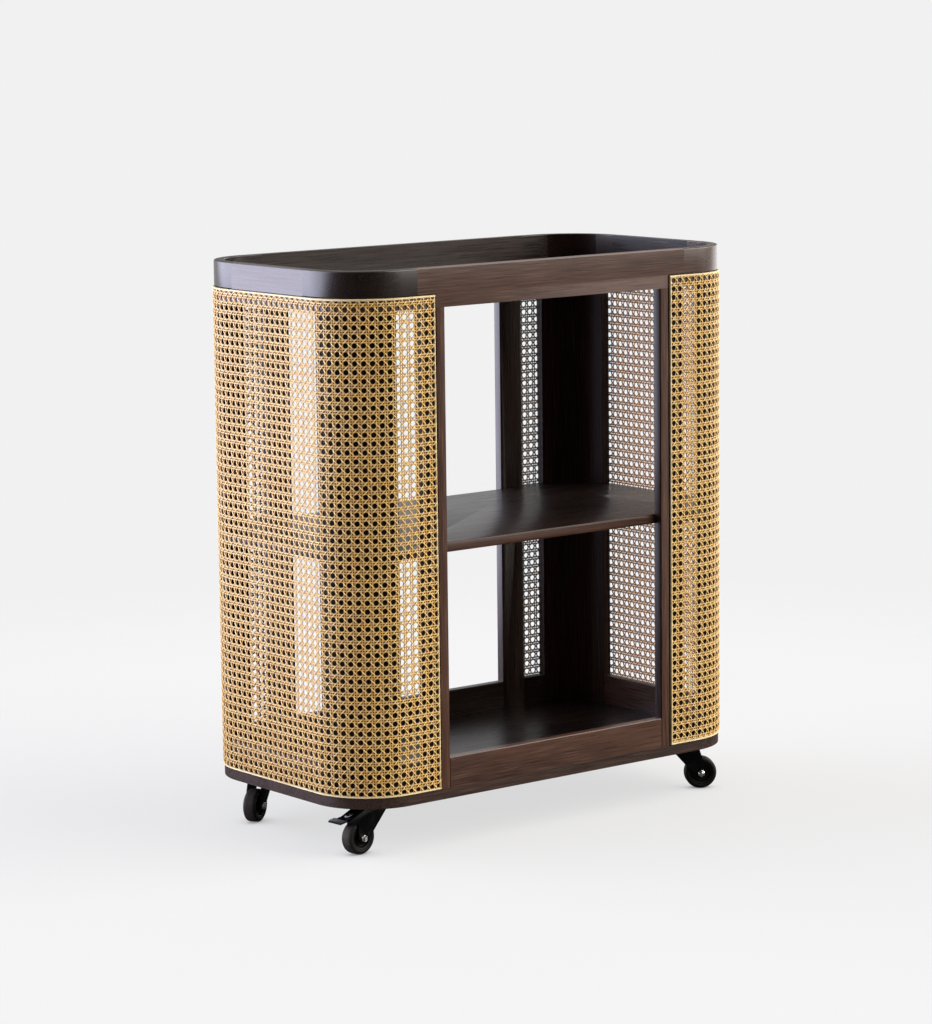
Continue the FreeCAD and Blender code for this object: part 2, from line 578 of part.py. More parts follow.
def fork(name, braked):
    """Pressed sheet fork: a flat top and two slanting legs, with a hood and a riveted pedal pin if braked."""
    foot_z = f"{AXLE_Z} - Sizes.fork_foot_drop"
    hood_end = "Sizes.caster_trail + Sizes.hood_reach"
    hood_top = f"{FORK_TOP} - Sizes.hood_drop"
    leg_back = "Sizes.caster_trail + Sizes.fork_foot_half"
    outline = [("-Sizes.fork_front", FORK_TOP), ("Sizes.fork_back", FORK_TOP)]
    if braked:
        outline[1] = ("Sizes.hood_slope_start", FORK_TOP)
        outline += [(hood_end, hood_top),
                    (hood_end, f"{hood_top} - Sizes.hood_depth"),
                    (leg_back, f"{hood_top} - Sizes.hood_depth")]
    outline += [(leg_back, AXLE_Z),
                ("Sizes.caster_trail + Sizes.fork_foot_half / 2", foot_z),
                ("Sizes.caster_trail - Sizes.fork_foot_half / 2", foot_z),
                ("-Sizes.fork_front", f"{FORK_TOP} - Sizes.fork_front_drop")]
    blank = side_profile(f"fork_blank_{name}", outline, FORK_WIDTH)
    bent = ease(f"fork_bent_{name}", blank, size("fork_bend"),
                lambda edge: near(middle(edge).z, blank.Shape.BoundBox.ZMax)
                and abs(edge.tangentAt(edge.FirstParameter).x) > 0.9)
    inside = block(f"fork_inside_{name}",
                   ("4 * Sizes.plate_length", FORK_GAP, f"{FORK_TOP} - Sizes.fork_sheet"),
                   ("-2 * Sizes.plate_length", f"-{FORK_GAP} / 2", "0"))
    holes = [inside,
             upright(f"fork_pin_hole_{name}", "Sizes.kingpin_diameter / 2 + Sizes.pin_play", "Sizes.height",
                     ("0", "0", "0")),
             lying(f"fork_axle_hole_{name}", "Sizes.axle_diameter / 2 + Sizes.pin_play", f"2 * {FORK_WIDTH}",
                   ("Sizes.caster_trail", "0", AXLE_Z))]
    if braked:
        holes.append(block(f"fork_hood_slot_{name}", ("Sizes.plate_length", FORK_GAP, "Sizes.height"),
                           ("Sizes.hood_slope_start", f"-{FORK_GAP} / 2", "0")))
    pressed = cut(f"fork_pressed_{name}", bent, holes)
    if not braked:
        return pressed
    pin = lying(f"fork_pedal_pin_{name}", "Sizes.pedal_pin_diameter / 2", FORK_WIDTH,
                ("Sizes.pedal_pivot_x", "0", PEDAL_Z))
    return fuse(f"fork_riveted_{name}", [pressed, pin])


def hexagon(name, radius, length, low):
    """Make a hexagonal bar along Y from the centre of its low face."""
    bar = doc.addObject("Part::Prism", name)
    bar.Polygon = 6
    bar.setExpression("Circumradius", radius)
    bar.setExpression("Height", length)
    bar.Placement.Rotation = FreeCAD.Rotation(Vector(1, 0, 0), -90)
    for axis, expression in zip("xyz", low):
        bar.setExpression(f"Placement.Base.{axis}", expression)
    return bar


def axle(name):
    """Axle bolt across the fork, with its hexagon head and its locked nut."""
    shank = lying(f"axle_shank_{name}", "Sizes.axle_diameter / 2", FORK_WIDTH,
                  ("Sizes.caster_trail", "0", AXLE_Z))
    ends = [hexagon(f"axle_hexagon_{name}_{len(low)}", "Sizes.nut_across / 2", "Sizes.nut_height",
                    ("Sizes.caster_trail", low, AXLE_Z))
            for low in (f"{FORK_WIDTH} / 2", f"-{FORK_WIDTH} / 2 - Sizes.nut_height")]
    return fuse(f"axle_drawn_{name}", [shank] + ends)


def wheel(name):
    """Solid wheel turned about the axle, with its running bore."""
    disc = lying(f"wheel_disc_{name}", "Sizes.wheel_diameter / 2", "Sizes.wheel_width",
                 ("Sizes.caster_trail", "0", AXLE_Z))
    bore = lying(f"wheel_bore_{name}", "Sizes.axle_diameter / 2 + Sizes.pin_play", f"2 * {FORK_WIDTH}",
                 ("Sizes.caster_trail", "0", AXLE_Z))
    return cut(f"wheel_drawn_{name}", disc, [bore])


def pedal(name):
    """Brake pedal: a rolled eye, a sloping sheet between the hood's sides and a ribbed foot pad."""
    eye_top = f"{PEDAL_Z} + Sizes.pedal_knuckle_radius"
    pad_start = "(Sizes.caster_trail + Sizes.hood_reach + Sizes.pedal_pad_gap)"
    tip = f"({pad_start} + Sizes.pedal_pad_length)"
    tip_top = f"({FORK_TOP} - Sizes.pedal_tip_drop)"
    rib_step = "(1 / (Sizes.pedal_rib_count + 1))"
    strip = side_profile(f"pedal_strip_{name}", [
        ("Sizes.pedal_pivot_x", eye_top),
        (pad_start, f"{tip_top} + Sizes.pedal_sheet"),
        (tip, tip_top),
        (tip, f"{tip_top} - Sizes.pedal_sheet"),
        (pad_start, tip_top),
        ("Sizes.pedal_pivot_x", f"{eye_top} - Sizes.pedal_sheet"),
    ], "Sizes.pedal_width")
    pad = side_profile(f"pedal_pad_{name}", [
        (pad_start, f"{tip_top} + Sizes.pedal_sheet"),
        (tip, tip_top),
        (tip, f"{tip_top} - Sizes.pedal_sheet"),
        (pad_start, tip_top),
    ], "Sizes.pedal_pad_width")
    eye = lying(f"pedal_eye_{name}", "Sizes.pedal_knuckle_radius", "Sizes.pedal_width",
                ("Sizes.pedal_pivot_x", "0", PEDAL_Z))
    bore = lying(f"pedal_bore_{name}", "Sizes.pedal_pin_diameter / 2 + Sizes.pin_play", f"2 * {FORK_GAP}",
                 ("Sizes.pedal_pivot_x", "0", PEDAL_Z))
    shoe = block(f"pedal_shoe_{name}",
                 ("Sizes.shoe_length", "Sizes.shoe_width", "Sizes.shoe_height"),
                 ("Sizes.caster_trail + Sizes.shoe_start", "-Sizes.shoe_width / 2",
                  "Sizes.wheel_diameter + Sizes.shoe_gap"))
    ribs = [hexagon(f"pedal_rib_{name}_{step}", "Sizes.pedal_rib", "Sizes.pedal_pad_width",
                    (f"{tip} - {step} * {rib_step} * Sizes.pedal_pad_length", "-Sizes.pedal_pad_width / 2",
                     f"{tip_top} + {step} * {rib_step} * Sizes.pedal_sheet"))
            for step in range(1, int(size("pedal_rib_count")) + 1)]
    return cut(f"pedal_drawn_{name}", fuse(f"pedal_solid_{name}", [strip, pad, eye, shoe] + ribs), [bore])


def stand(name, item, side_x, side_y, turn):
    """Put a finished caster piece under its corner, turned to its trailing direction."""
    carrier = group(f"{name}_standing", [item])
    return place(carrier, signed(side_x, "Sizes.caster_x"), signed(side_y, "Sizes.caster_y"), "0", turn)


plates = []
for corner, side_x, side_y, quarter in CORNERS:
    braked = corner in BRAKED_CASTERS
    turn = f"Sizes.swivel_{corner}"
    plates.append(stand(f"plate_{corner}", caster_plate(corner), side_x, side_y, "0"))
    turning = {
        "fork": fork(corner, braked),
        "axle": axle(corner),
        "wheel": wheel(corner),
    }
    if braked:
        turning["brake_pedal"] = pedal(corner)
    for kind, item in turning.items():
        piece(f"{kind}_{corner}", stand(f"{kind}_{corner}", item, side_x, side_y, turn))
piece("caster_plates", group("caster_plate_set", plates))

doc.recompute()
for item in doc.Objects:
    if "Invalid" in item.State or "Error" in item.State:
        raise RuntimeError(f"{item.Label} failed: {item.State}")
for item in pieces:
    if item.Shape.isNull() or not item.Shape.isValid() or not item.Shape.Solids:
        raise RuntimeError(f"{item.Label} has no valid solid")

os.makedirs("parts", exist_ok=True)
for item in pieces:
    item.Shape.exportStep(os.path.join("parts", f"{item.Label}.step"))
print(f"{len(pieces)} sub-parts written")
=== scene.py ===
"""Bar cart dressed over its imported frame.

Dark satin boards with eased edges, hand-woven cane round both ends, reed beads in
their grooves, and four swivel casters. Metres throughout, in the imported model's own
frame: +Z up, X along the cart, front at -Y, origin on the floor under the middle.
"""
import itertools
import json
import logging
import math
from dataclasses import dataclass, field
from enum import Enum
from typing import Callable, Iterable

import bmesh
import bpy
import numpy as np
from mathutils import Matrix, Vector

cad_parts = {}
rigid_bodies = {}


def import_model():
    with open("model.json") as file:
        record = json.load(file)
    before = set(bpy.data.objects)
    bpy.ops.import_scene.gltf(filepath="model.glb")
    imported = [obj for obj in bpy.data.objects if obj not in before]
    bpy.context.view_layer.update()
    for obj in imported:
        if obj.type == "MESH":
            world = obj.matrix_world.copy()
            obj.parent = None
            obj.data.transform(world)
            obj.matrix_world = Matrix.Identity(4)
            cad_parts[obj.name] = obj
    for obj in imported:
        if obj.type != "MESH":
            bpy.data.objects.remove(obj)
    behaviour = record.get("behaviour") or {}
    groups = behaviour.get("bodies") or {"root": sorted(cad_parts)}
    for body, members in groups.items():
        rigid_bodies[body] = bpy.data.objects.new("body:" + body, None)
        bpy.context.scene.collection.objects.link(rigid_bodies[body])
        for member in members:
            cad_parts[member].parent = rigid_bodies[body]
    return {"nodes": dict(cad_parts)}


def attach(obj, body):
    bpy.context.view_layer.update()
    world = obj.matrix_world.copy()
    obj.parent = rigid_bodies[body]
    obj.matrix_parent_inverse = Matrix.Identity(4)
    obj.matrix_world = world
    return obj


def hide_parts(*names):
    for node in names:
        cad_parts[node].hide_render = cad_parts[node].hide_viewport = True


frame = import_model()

log = logging.getLogger("bar_cart")
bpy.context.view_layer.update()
MM = 0.001
SAME_PLACE = 1e-6
TURN_WELD = 0.001 * MM
FACET_WELD = 0.002 * MM
REPEAT_WELD = 0.01 * MM
AXIS = 0.02 * MM
FLAT_ANGLE = 0.5
TURNED_ANGLE = 35.0
STRAND_ANGLE = 50.0
# Marks round a strand's section: its back, its shoulders and its crown.
PITH, FLANK, SKIN = 1.0, 0.5, 0.0
CORNERS: tuple[str, ...] = ("back_right", "back_left", "front_left", "front_right")

Point = tuple[float, float, float]
Colour = tuple[float, float, float]
Profile = list[tuple[float, float]]
Steps = tuple[tuple[float, ...], ...]
Piece = bpy.types.Object
Face = bpy.types.MeshPolygon
Material = bpy.types.Material
Socket = bpy.types.NodeSocket
EdgeTest = Callable[[Vector, Vector], bool]
FaceTest = Callable[[Face], bool]


class Body(str, Enum):
    """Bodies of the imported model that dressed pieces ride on."""

    CART = "cart"
    CASTER = "caster"
    ROLLER = "roller"
    PEDAL = "pedal"


class Slot(str, Enum):
    """Material slots of the record."""

    WOOD = "dark_wood"
    CANE = "woven_cane"
    REED = "reed"
    BLACK = "black_steel"
    ZINC = "zinc_steel"
    RUBBER = "black_rubber"


class Side(Enum):
    """The two caned ends, and the turn that puts the right end's shape there."""

    LEFT = math.pi
    RIGHT = 0.0

    @property
    def word(self) -> str:
        """Name of the end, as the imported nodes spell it."""
        return self.name.lower()


class Grain(Enum):
    """Direction that the wood's fibres run in."""

    LENGTH = 0
    DEPTH = 1
    UPRIGHT = 2


class Family(Enum):
    """The four sets of strands in the cane's weave."""

    UPRIGHT = "uprights"
    LEVEL = "levels"
    RISING = "rising"
    FALLING = "falling"


def mm(*lengths: float) -> tuple[float, ...]:
    """Lengths in millimetres, as metres."""
    return tuple(length * MM for length in lengths)


def pick_only(*objects: Piece) -> None:
    """Select these objects and nothing else, the first one active."""
    for other in bpy.context.view_layer.objects:
        other.select_set(False)
    for item in objects:
        item.select_set(True)
    bpy.context.view_layer.objects.active = objects[0]


def pick_all() -> None:
    """Select the whole mesh in edit mode."""
    bpy.ops.mesh.select_all(action="SELECT")


def edit(item: Piece) -> None:
    """Enter edit mode on one object alone, with all of it selected."""
    pick_only(item)
    bpy.ops.object.mode_set(mode="EDIT")
    pick_all()


def leave() -> None:
    """Go back to object mode."""
    bpy.ops.object.mode_set(mode="OBJECT")


def face_outwards() -> None:
    """Turn all faces of the mesh in edit mode outwards."""
    pick_all()
    bpy.ops.mesh.normals_make_consistent(inside=False)


def settle(item: Piece) -> None:
    """Apply a new primitive's place and size to its mesh."""
    pick_only(item)
    bpy.ops.object.transform_apply(location=True, rotation=True, scale=True)


def smooth(item: Piece, limit: float) -> None:
    """Shade a piece smooth, except at edges sharper than this many degrees."""
    pick_only(item)
    bpy.ops.object.shade_smooth_by_angle(angle=math.radians(limit))


def applied(item: Piece, kind: str, **settings: object) -> None:
    """Add a modifier with these settings and apply it."""
    pick_only(item)
    modifier = item.modifiers.new(kind.lower(), kind)
    for key, value in settings.items():
        setattr(modifier, key, value)
    bpy.ops.object.modifier_apply(modifier=modifier.name)


def select_points(item: Piece, wanted: Callable[[Vector], bool]) -> None:
    """Select the vertices, and the edges and faces between them, that a test picks.

    Args:
        item: the object in edit mode.
        wanted: test on a vertex's place.
    """
    bpy.ops.mesh.select_mode(type="VERT")
    bpy.ops.mesh.select_all(action="DESELECT")
    mesh = bmesh.from_edit_mesh(item.data)
    for vertex in mesh.verts:
        vertex.select_set(wanted(vertex.co))
    mesh.select_flush(True)
    bmesh.update_edit_mesh(item.data)


def named(item: Piece, name: str) -> Piece:
    """Give an object and its mesh one name."""
    item.name = name
    item.data.name = name
    return item


def copy_of(item: Piece, name: str, place: Matrix | None = None) -> Piece:
    """Copy a piece with a mesh of its own, moved inside that mesh.

    Args:
        item: the piece to copy.
        name: name of the copy.
        place: where the copy's mesh goes, or None for the same place.

    Returns:
        The copy, linked into the scene.
    """
    twin = bpy.data.objects.new(name, item.data.copy())
    bpy.context.scene.collection.objects.link(twin)
    if place is not None:
        twin.data.transform(place)
    return named(twin, name)


def discard(*objects: Piece) -> None:
    """Remove patterns that have served for copying."""
    for item in objects:
        bpy.data.objects.remove(item)


def joined(name: str, items: Iterable[Piece]) -> Piece:
    """Join objects into one piece."""
    pick_only(*items)
    bpy.ops.object.join()
    return named(bpy.context.view_layer.objects.active, name)


def rounded(item: Piece, width: float, segments: int = 2, limit: float = 30.0,
            left_sharp: EdgeTest | None = None) -> None:
    """Round the sharp edges with an applied bevel and shade the result.

    Args:
        item: the piece.
        width: width of the rounding.
        segments: faces across the rounding.
        limit: edges sharper than this many degrees are rounded.
        left_sharp: test on an edge's two ends; an edge that it picks, such as a
            butt joint's, stays sharp.
    """
    edit(item)
    mesh = bmesh.from_edit_mesh(item.data)
    weight = mesh.edges.layers.float.new("bevel_weight_edge")
    for edge in mesh.edges:
        sharp = len(edge.link_faces) == 2 and edge.calc_face_angle() > math.radians(limit)
        kept = left_sharp is not None and left_sharp(*(vertex.co for vertex in edge.verts))
        edge[weight] = 1.0 if sharp and not kept else 0.0
    bmesh.update_edit_mesh(item.data)
    leave()
    applied(item, "BEVEL", width=width, segments=segments, limit_method="WEIGHT", miter_outer="MITER_ARC")
    smooth(item, limit)


def repeated(item: Piece, step: Point, count: int) -> None:
    """Repeat a mesh in even steps, welding the copies where they meet."""
    applied(item, "ARRAY", count=count, use_relative_offset=False, use_constant_offset=True,
            constant_offset_displace=step, use_merge_vertices=True, merge_threshold=REPEAT_WELD)


def turned(name: str, profile: Profile, steps: int) -> Piece:
    """Turn a closed profile once round the Y axis.

    Args:
        name: name of the piece.
        profile: (radius, distance along Y) round the section.
        steps: faces round the turn.

    Returns:
        The turned piece, welded, with its faces outwards.
    """
    bpy.ops.mesh.primitive_circle_add(vertices=len(profile), radius=MM)
    item = named(bpy.context.object, name)
    for vertex, (radius, along) in zip(item.data.vertices, profile):
        vertex.co = (radius, along, 0.0)
    edit(item)
    bpy.ops.mesh.spin(steps=steps, angle=math.tau, center=(0, 0, 0), axis=(0, 1, 0))
    pick_all()
    bpy.ops.mesh.remove_doubles(threshold=TURN_WELD)
    face_outwards()
    leave()
    smooth(item, TURNED_ANGLE)
    return item


class Shade:
    """A new node material and short ways to add to it."""

    def __init__(self, name: str) -> None:
        """Start a material with its principled shader."""
        self.material = bpy.data.materials.new(name)
        self.material.use_nodes = True
        self.tree = self.material.node_tree
        self.shader = self.tree.nodes["Principled BSDF"]

    @classmethod
    def of_tree(cls, tree: bpy.types.NodeTree) -> "Shade":
        """Work on a node tree that is there already, such as the world's."""
        shade = cls.__new__(cls)
        shade.tree = tree
        return shade

    def feed(self, socket: Socket, value: object) -> None:
        """Set a socket's value, or link an output to it."""
        if isinstance(value, Socket):
            self.tree.links.new(value, socket)
        else:
            socket.default_value = value

    def node(self, kind: str, **inputs: object) -> bpy.types.Node:
        """Add a node, with values or links for its inputs.

        Args:
            kind: node type without its ShaderNode prefix.
            inputs: input names, with _ for spaces, and a value or an output each;
                a name that is a property of the node is set on the node.

        Returns:
            The new node.
        """
        made = self.tree.nodes.new("ShaderNode" + kind)
        for key, value in inputs.items():
            if hasattr(made, key):
                setattr(made, key, value)
            else:
                self.feed(made.inputs[key.replace("_", " ")], value)
        return made

    def fed(self, kind: str, *inputs: object, **settings: object) -> Socket:
        """Add a node, feed its inputs in their order and hand over its first output.

        Args:
            kind: node type without its ShaderNode prefix.
            inputs: a value or an output for each input.
            settings: properties of the node.

        Returns:
            The node's first output.
        """
        made = self.node(kind, **settings)
        for socket, value in zip(made.inputs, inputs):
            self.feed(socket, value)
        return made.outputs[0]

    def finish(self, **inputs: object) -> Material:
        """Set the principled shader's inputs and hand over the material."""
        for key, value in inputs.items():
            self.feed(self.shader.inputs[key.replace("_", " ")], value)
        return self.material

    def maths(self, operation: str, first: object, second: object) -> Socket:
        """Combine two numbers."""
        return self.fed("Math", first, second, operation=operation)

    def share(self, part: float, first: Socket, second: Socket) -> Socket:
        """Add two numbers, the first by its part and the second by the rest."""
        shares = (self.maths("MULTIPLY", *pair) for pair in ((first, part), (second, 1 - part)))
        return self.maths("ADD", *shares)

    def blend(self, factor: object, first: object, second: object) -> Socket:
        """Mix two colours by a factor."""
        made = self.node("Mix", data_type="RGBA")
        for index, value in ((0, factor), (6, first), (7, second)):
            if isinstance(value, tuple) and len(value) == 3:
                value = (*value, 1.0)
            self.feed(made.inputs[index], value)
        return made.outputs[2]

    def spread(self, value: Socket, low: float, high: float, start: float = 0.0, end: float = 1.0) -> Socket:
        """Map a number from low..high to start..end with smooth ends."""
        return self.fed("MapRange", value, low, high, start, end, interpolation_type="SMOOTHSTEP")

    def noise(self, vector: Socket, scale: Point | float, detail: float = 3.0, shift: float = 0.0) -> Socket:
        """Noise on coordinates stretched by one scale, or by a scale per axis."""
        stretch = scale if isinstance(scale, tuple) else (scale,) * 3
        mapping = self.node("Mapping", Vector=vector, Scale=stretch, Location=(shift,) * 3)
        return self.node("TexNoise", Vector=mapping.outputs[0], Scale=1.0, Detail=detail).outputs[0]

    def attribute(self, name: str, output: str = "Fac") -> Socket:
        """One of the mesh's own attributes."""
        return self.node("Attribute", attribute_name=name).outputs[output]

    def object_place(self) -> Socket:
        """Object coordinates."""
        return self.node("TexCoord").outputs["Object"]

    def bump(self, height: Socket, strength: float, depth: float) -> Socket:
        """A bump normal from a height."""
        return self.node("Bump", Height=height, Strength=strength, Distance=depth).outputs[0]


class Finish:
    """A finish whose material is painted once, however many pieces take it."""

    name: str

    def make(self) -> Material:
        """Paint the material, or hand over the one already painted."""
        if self.name in bpy.data.materials:
            return bpy.data.materials[self.name]
        return self.paint(Shade(self.name))

    def paint(self, shade: Shade) -> Material:
        """Paint the material on its new node tree."""
        raise NotImplementedError


@dataclass(frozen=True)
class DarkWood(Finish):
    """Espresso-stained, satin-lacquered hardwood with fine open pores.

    The tone scales its colours and paints the light and shade on each board and face, the gloss
    is the weight of its lacquer coat, and the sheen is the specular level of the stained wood itself.
    """

    grain: Grain
    tone: float = 1.0
    gloss: float = 0.14
    sheen: float = 0.42
    deep: Colour = (0.0200, 0.0085, 0.0058)
    mid: Colour = (0.0420, 0.0185, 0.0115)
    pale: Colour = (0.0760, 0.0370, 0.0225)

    @property
    def name(self) -> str:
        """Name of the material for this grain, tone, gloss and sheen."""
        numbers = "_".join(str(round(part * 100)) for part in (self.tone, self.gloss, self.sheen))
        return f"dark_wood_{self.grain.name.lower()}_{numbers}"

    def stretch(self, across: float, along: float) -> Point:
        """Scales that draw a pattern out along the grain."""
        scale = [across, across, across]
        scale[self.grain.value] = along
        return tuple(scale)

    def paint(self, shade: Shade) -> Material:
        """Paint figure, fibres and pores along the grain."""
        place = shade.object_place()
        figure = shade.noise(place, self.stretch(34.0, 2.4), 4.0, 7.3 * self.tone)
        fibre = shade.noise(place, self.stretch(620.0, 14.0), 5.0)
        pores = shade.spread(shade.noise(place, self.stretch(1500.0, 52.0), 2.0), 0.60, 0.72)
        deep, mid, pale = (tuple(self.tone * part for part in colour)
                           for colour in (self.deep, self.mid, self.pale))
        base = shade.blend(shade.spread(figure, 0.30, 0.72), deep, mid)
        base = shade.blend(shade.spread(fibre, 0.42, 0.80), base, pale)
        base = shade.blend(shade.maths("MULTIPLY", pores, 0.75), base, deep)
        relief = shade.maths("SUBTRACT", shade.maths("MULTIPLY", fibre, 0.35), pores)
        return shade.finish(Base_Color=base, Roughness=shade.spread(fibre, 0.25, 0.85, 0.25, 0.42),
                            Specular_IOR_Level=self.sheen, Coat_Weight=self.gloss, Coat_Roughness=0.16,
                            Normal=shade.bump(relief, 0.10, 0.15 * MM))


@dataclass(frozen=True)
class Cane(Finish):
    """Peeled rattan: glossy straw skin toned per strand, diagonals painted brighter, matt pith side, painted
    shade and dirt in its depth.
    """

    name: str = "cane_strands"
    pale: Colour = (0.96, 0.675, 0.245)
    gold: Colour = (0.60, 0.300, 0.058)
    brown: Colour = (0.32, 0.140, 0.030)
    # Near-black that the painted shade and dirt blend towards.
    crease: Colour = (0.040, 0.016, 0.006)
    pith: Colour = (0.950, 0.420, 0.130)

    def paint(self, shade: Shade) -> Material:
        """Paint streaks along each strand, then its pith side, then its painted shade and dirt."""
        run = shade.attribute("cane_run", "Vector")
        inner = shade.attribute("inner")
        streaks = shade.noise(run, (26.0, 90.0, 1900.0), 3.0)
        patches = shade.noise(run, (9.0, 90.0, 60.0), 2.0, 3.1)
        # The strand tone carries the diagonals' painted highlight.
        base = shade.blend(shade.share(0.65, shade.attribute("tone"), streaks), self.gold, self.pale)
        base = shade.blend(shade.spread(patches, 0.60, 0.80, 0.0, 0.55), base, self.brown)
        base = shade.blend(shade.maths("MULTIPLY", inner, 0.8), base, self.pith)
        # Painted shade and dirt: darker in the weave's depth and on the strands' shoulders and backs.
        base = shade.blend(shade.attribute("sunk"), base, self.crease)
        rough = shade.maths("ADD", shade.spread(streaks, 0.2, 0.8, 0.30, 0.46),
                            shade.maths("MULTIPLY", inner, 0.5))
        return shade.finish(Base_Color=base, Roughness=rough, Specular_IOR_Level=0.40,
                            Coat_Weight=0.25, Coat_Roughness=0.20,
                            Normal=shade.bump(streaks, 0.25, 0.12 * MM))


@dataclass(frozen=True)
class Reed(Finish):
    """Split reed bead, paler and drier than the cane, with painted shade on what faces up."""

    name: str = "reed_bead"
    pale: Colour = (0.95, 0.800, 0.470)
    shadow: Colour = (0.72, 0.530, 0.260)
    soil: Colour = (0.35, 0.270, 0.135)

    def paint(self, shade: Shade) -> Material:
        """Paint flecks and drifts of colour, then the painted shade on faces that point up."""
        place = shade.object_place()
        fleck = shade.noise(place, 420.0, 3.0)
        drift = shade.noise(place, 14.0, 2.0)
        base = shade.blend(shade.spread(shade.share(0.5, fleck, drift), 0.38, 0.66), self.pale, self.shadow)
        normal = shade.node("NewGeometry").outputs["Normal"]
        upward = shade.node("SeparateXYZ", Vector=normal).outputs["Z"]
        # Faces that point up are darkened: painted shade against the overhead light.
        base = shade.blend(shade.spread(upward, 0.0, 0.6, 0.0, 0.85), base, self.soil)
        return shade.finish(Base_Color=base, Roughness=shade.spread(fleck, 0.2, 0.8, 0.42, 0.62),
                            Normal=shade.bump(fleck, 0.2, 0.1 * MM))


@dataclass(frozen=True)
class BlackSteel(Finish):
    """Black enamelled pressed steel with a slight orange peel."""

    sheen: float = 0.10
    rough: float = 0.24
    coat: Colour = (0.0030, 0.0030, 0.0034)
    dust: Colour = (0.0100, 0.0096, 0.0092)

    @property
    def name(self) -> str:
        """Name of the material for this sheen."""
        return f"black_steel_{round(self.sheen * 100)}"

    def paint(self, shade: Shade) -> Material:
        """Paint the enamel with clouds of dust and its peel."""
        place = shade.object_place()
        peel = shade.noise(place, 900.0, 2.0)
        cloud = shade.noise(place, 70.0, 4.0)
        base = shade.blend(shade.spread(cloud, 0.45, 0.75, 0.0, 0.5), self.coat, self.dust)
        return shade.finish(Base_Color=base, Specular_IOR_Level=self.sheen,
                            Roughness=shade.spread(cloud, 0.3, 0.7, self.rough - 0.06, self.rough + 0.08),
                            Normal=shade.bump(peel, 0.12, 0.08 * MM))


@dataclass(frozen=True)
class Zinc(Finish):
    """Zinc plate on bolts, nuts, screws and release tongues."""

    name: str = "zinc_plate"
    bright: Colour = (0.93, 0.935, 0.94)
    dull: Colour = (0.76, 0.765, 0.76)

    def paint(self, shade: Shade) -> Material:
        """Paint the plate with its dull bloom."""
        bloom = shade.noise(shade.object_place(), 380.0, 4.0)
        base = shade.blend(shade.spread(bloom, 0.4, 0.7), self.bright, self.dull)
        return shade.finish(Base_Color=base, Metallic=1.0,
                            Roughness=shade.spread(bloom, 0.3, 0.75, 0.20, 0.42))


@dataclass(frozen=True)
class Rubber(Finish):
    """Black rubber and nylon of the wheels, with dust ground into the tread."""

    name: str = "wheel_rubber"
    black: Colour = (0.0065, 0.0064, 0.0066)
    dust: Colour = (0.050, 0.039, 0.030)
    sheen: float = 0.16

    def paint(self, shade: Shade) -> Material:
        """Paint the rubber, and the dust where the tread is worn."""
        place = shade.object_place()
        worn = shade.attribute("tread")
        grit = shade.noise(place, 520.0, 5.0)
        cloud = shade.noise(place, 110.0, 3.0)
        dusty = shade.spread(shade.share(0.5, grit, cloud), 0.36, 0.62, 0.15, 0.9)
        base = shade.blend(shade.maths("MULTIPLY", worn, dusty), self.black, self.dust)
        rough = shade.maths("ADD", shade.spread(grit, 0.25, 0.75, 0.40, 0.54),
                            shade.maths("MULTIPLY", worn, 0.2))
        return shade.finish(Base_Color=base, Roughness=rough, Specular_IOR_Level=self.sheen,
                            Normal=shade.bump(grit, 0.15, 0.08 * MM))


def dress(item: Piece, material: Material, slot: Slot, body: str, *nodes: str) -> None:
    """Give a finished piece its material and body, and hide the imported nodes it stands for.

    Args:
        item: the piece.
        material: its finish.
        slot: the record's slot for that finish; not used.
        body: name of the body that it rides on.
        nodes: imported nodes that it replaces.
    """
    item.data.materials.clear()
    item.data.materials.append(material)
    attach(item, body)
    if nodes:
        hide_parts(*nodes)
    log.info("%s: %d faces on %s", item.name, len(item.data.polygons), body)


def eased_copy(node: str, name: str, width: float, segments: int = 2,
               left_sharp: EdgeTest | None = None) -> Piece:
    """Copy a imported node, weld its facets into whole faces and round its edges.

    Args:
        node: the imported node.
        name: name of the new piece.
        width: width of the rounding.
        segments: faces across the rounding.
        left_sharp: test on the two ends of an edge that stays sharp.

    Returns:
        The rounded copy, in the node's place.
    """
    item = copy_of(frame["nodes"][node], name)
    edit(item)
    bpy.ops.mesh.remove_doubles(threshold=FACET_WELD)
    bpy.ops.mesh.dissolve_limited(angle_limit=math.radians(FLAT_ANGLE))
    leave()
    rounded(item, width, segments, left_sharp=left_sharp)
    return item


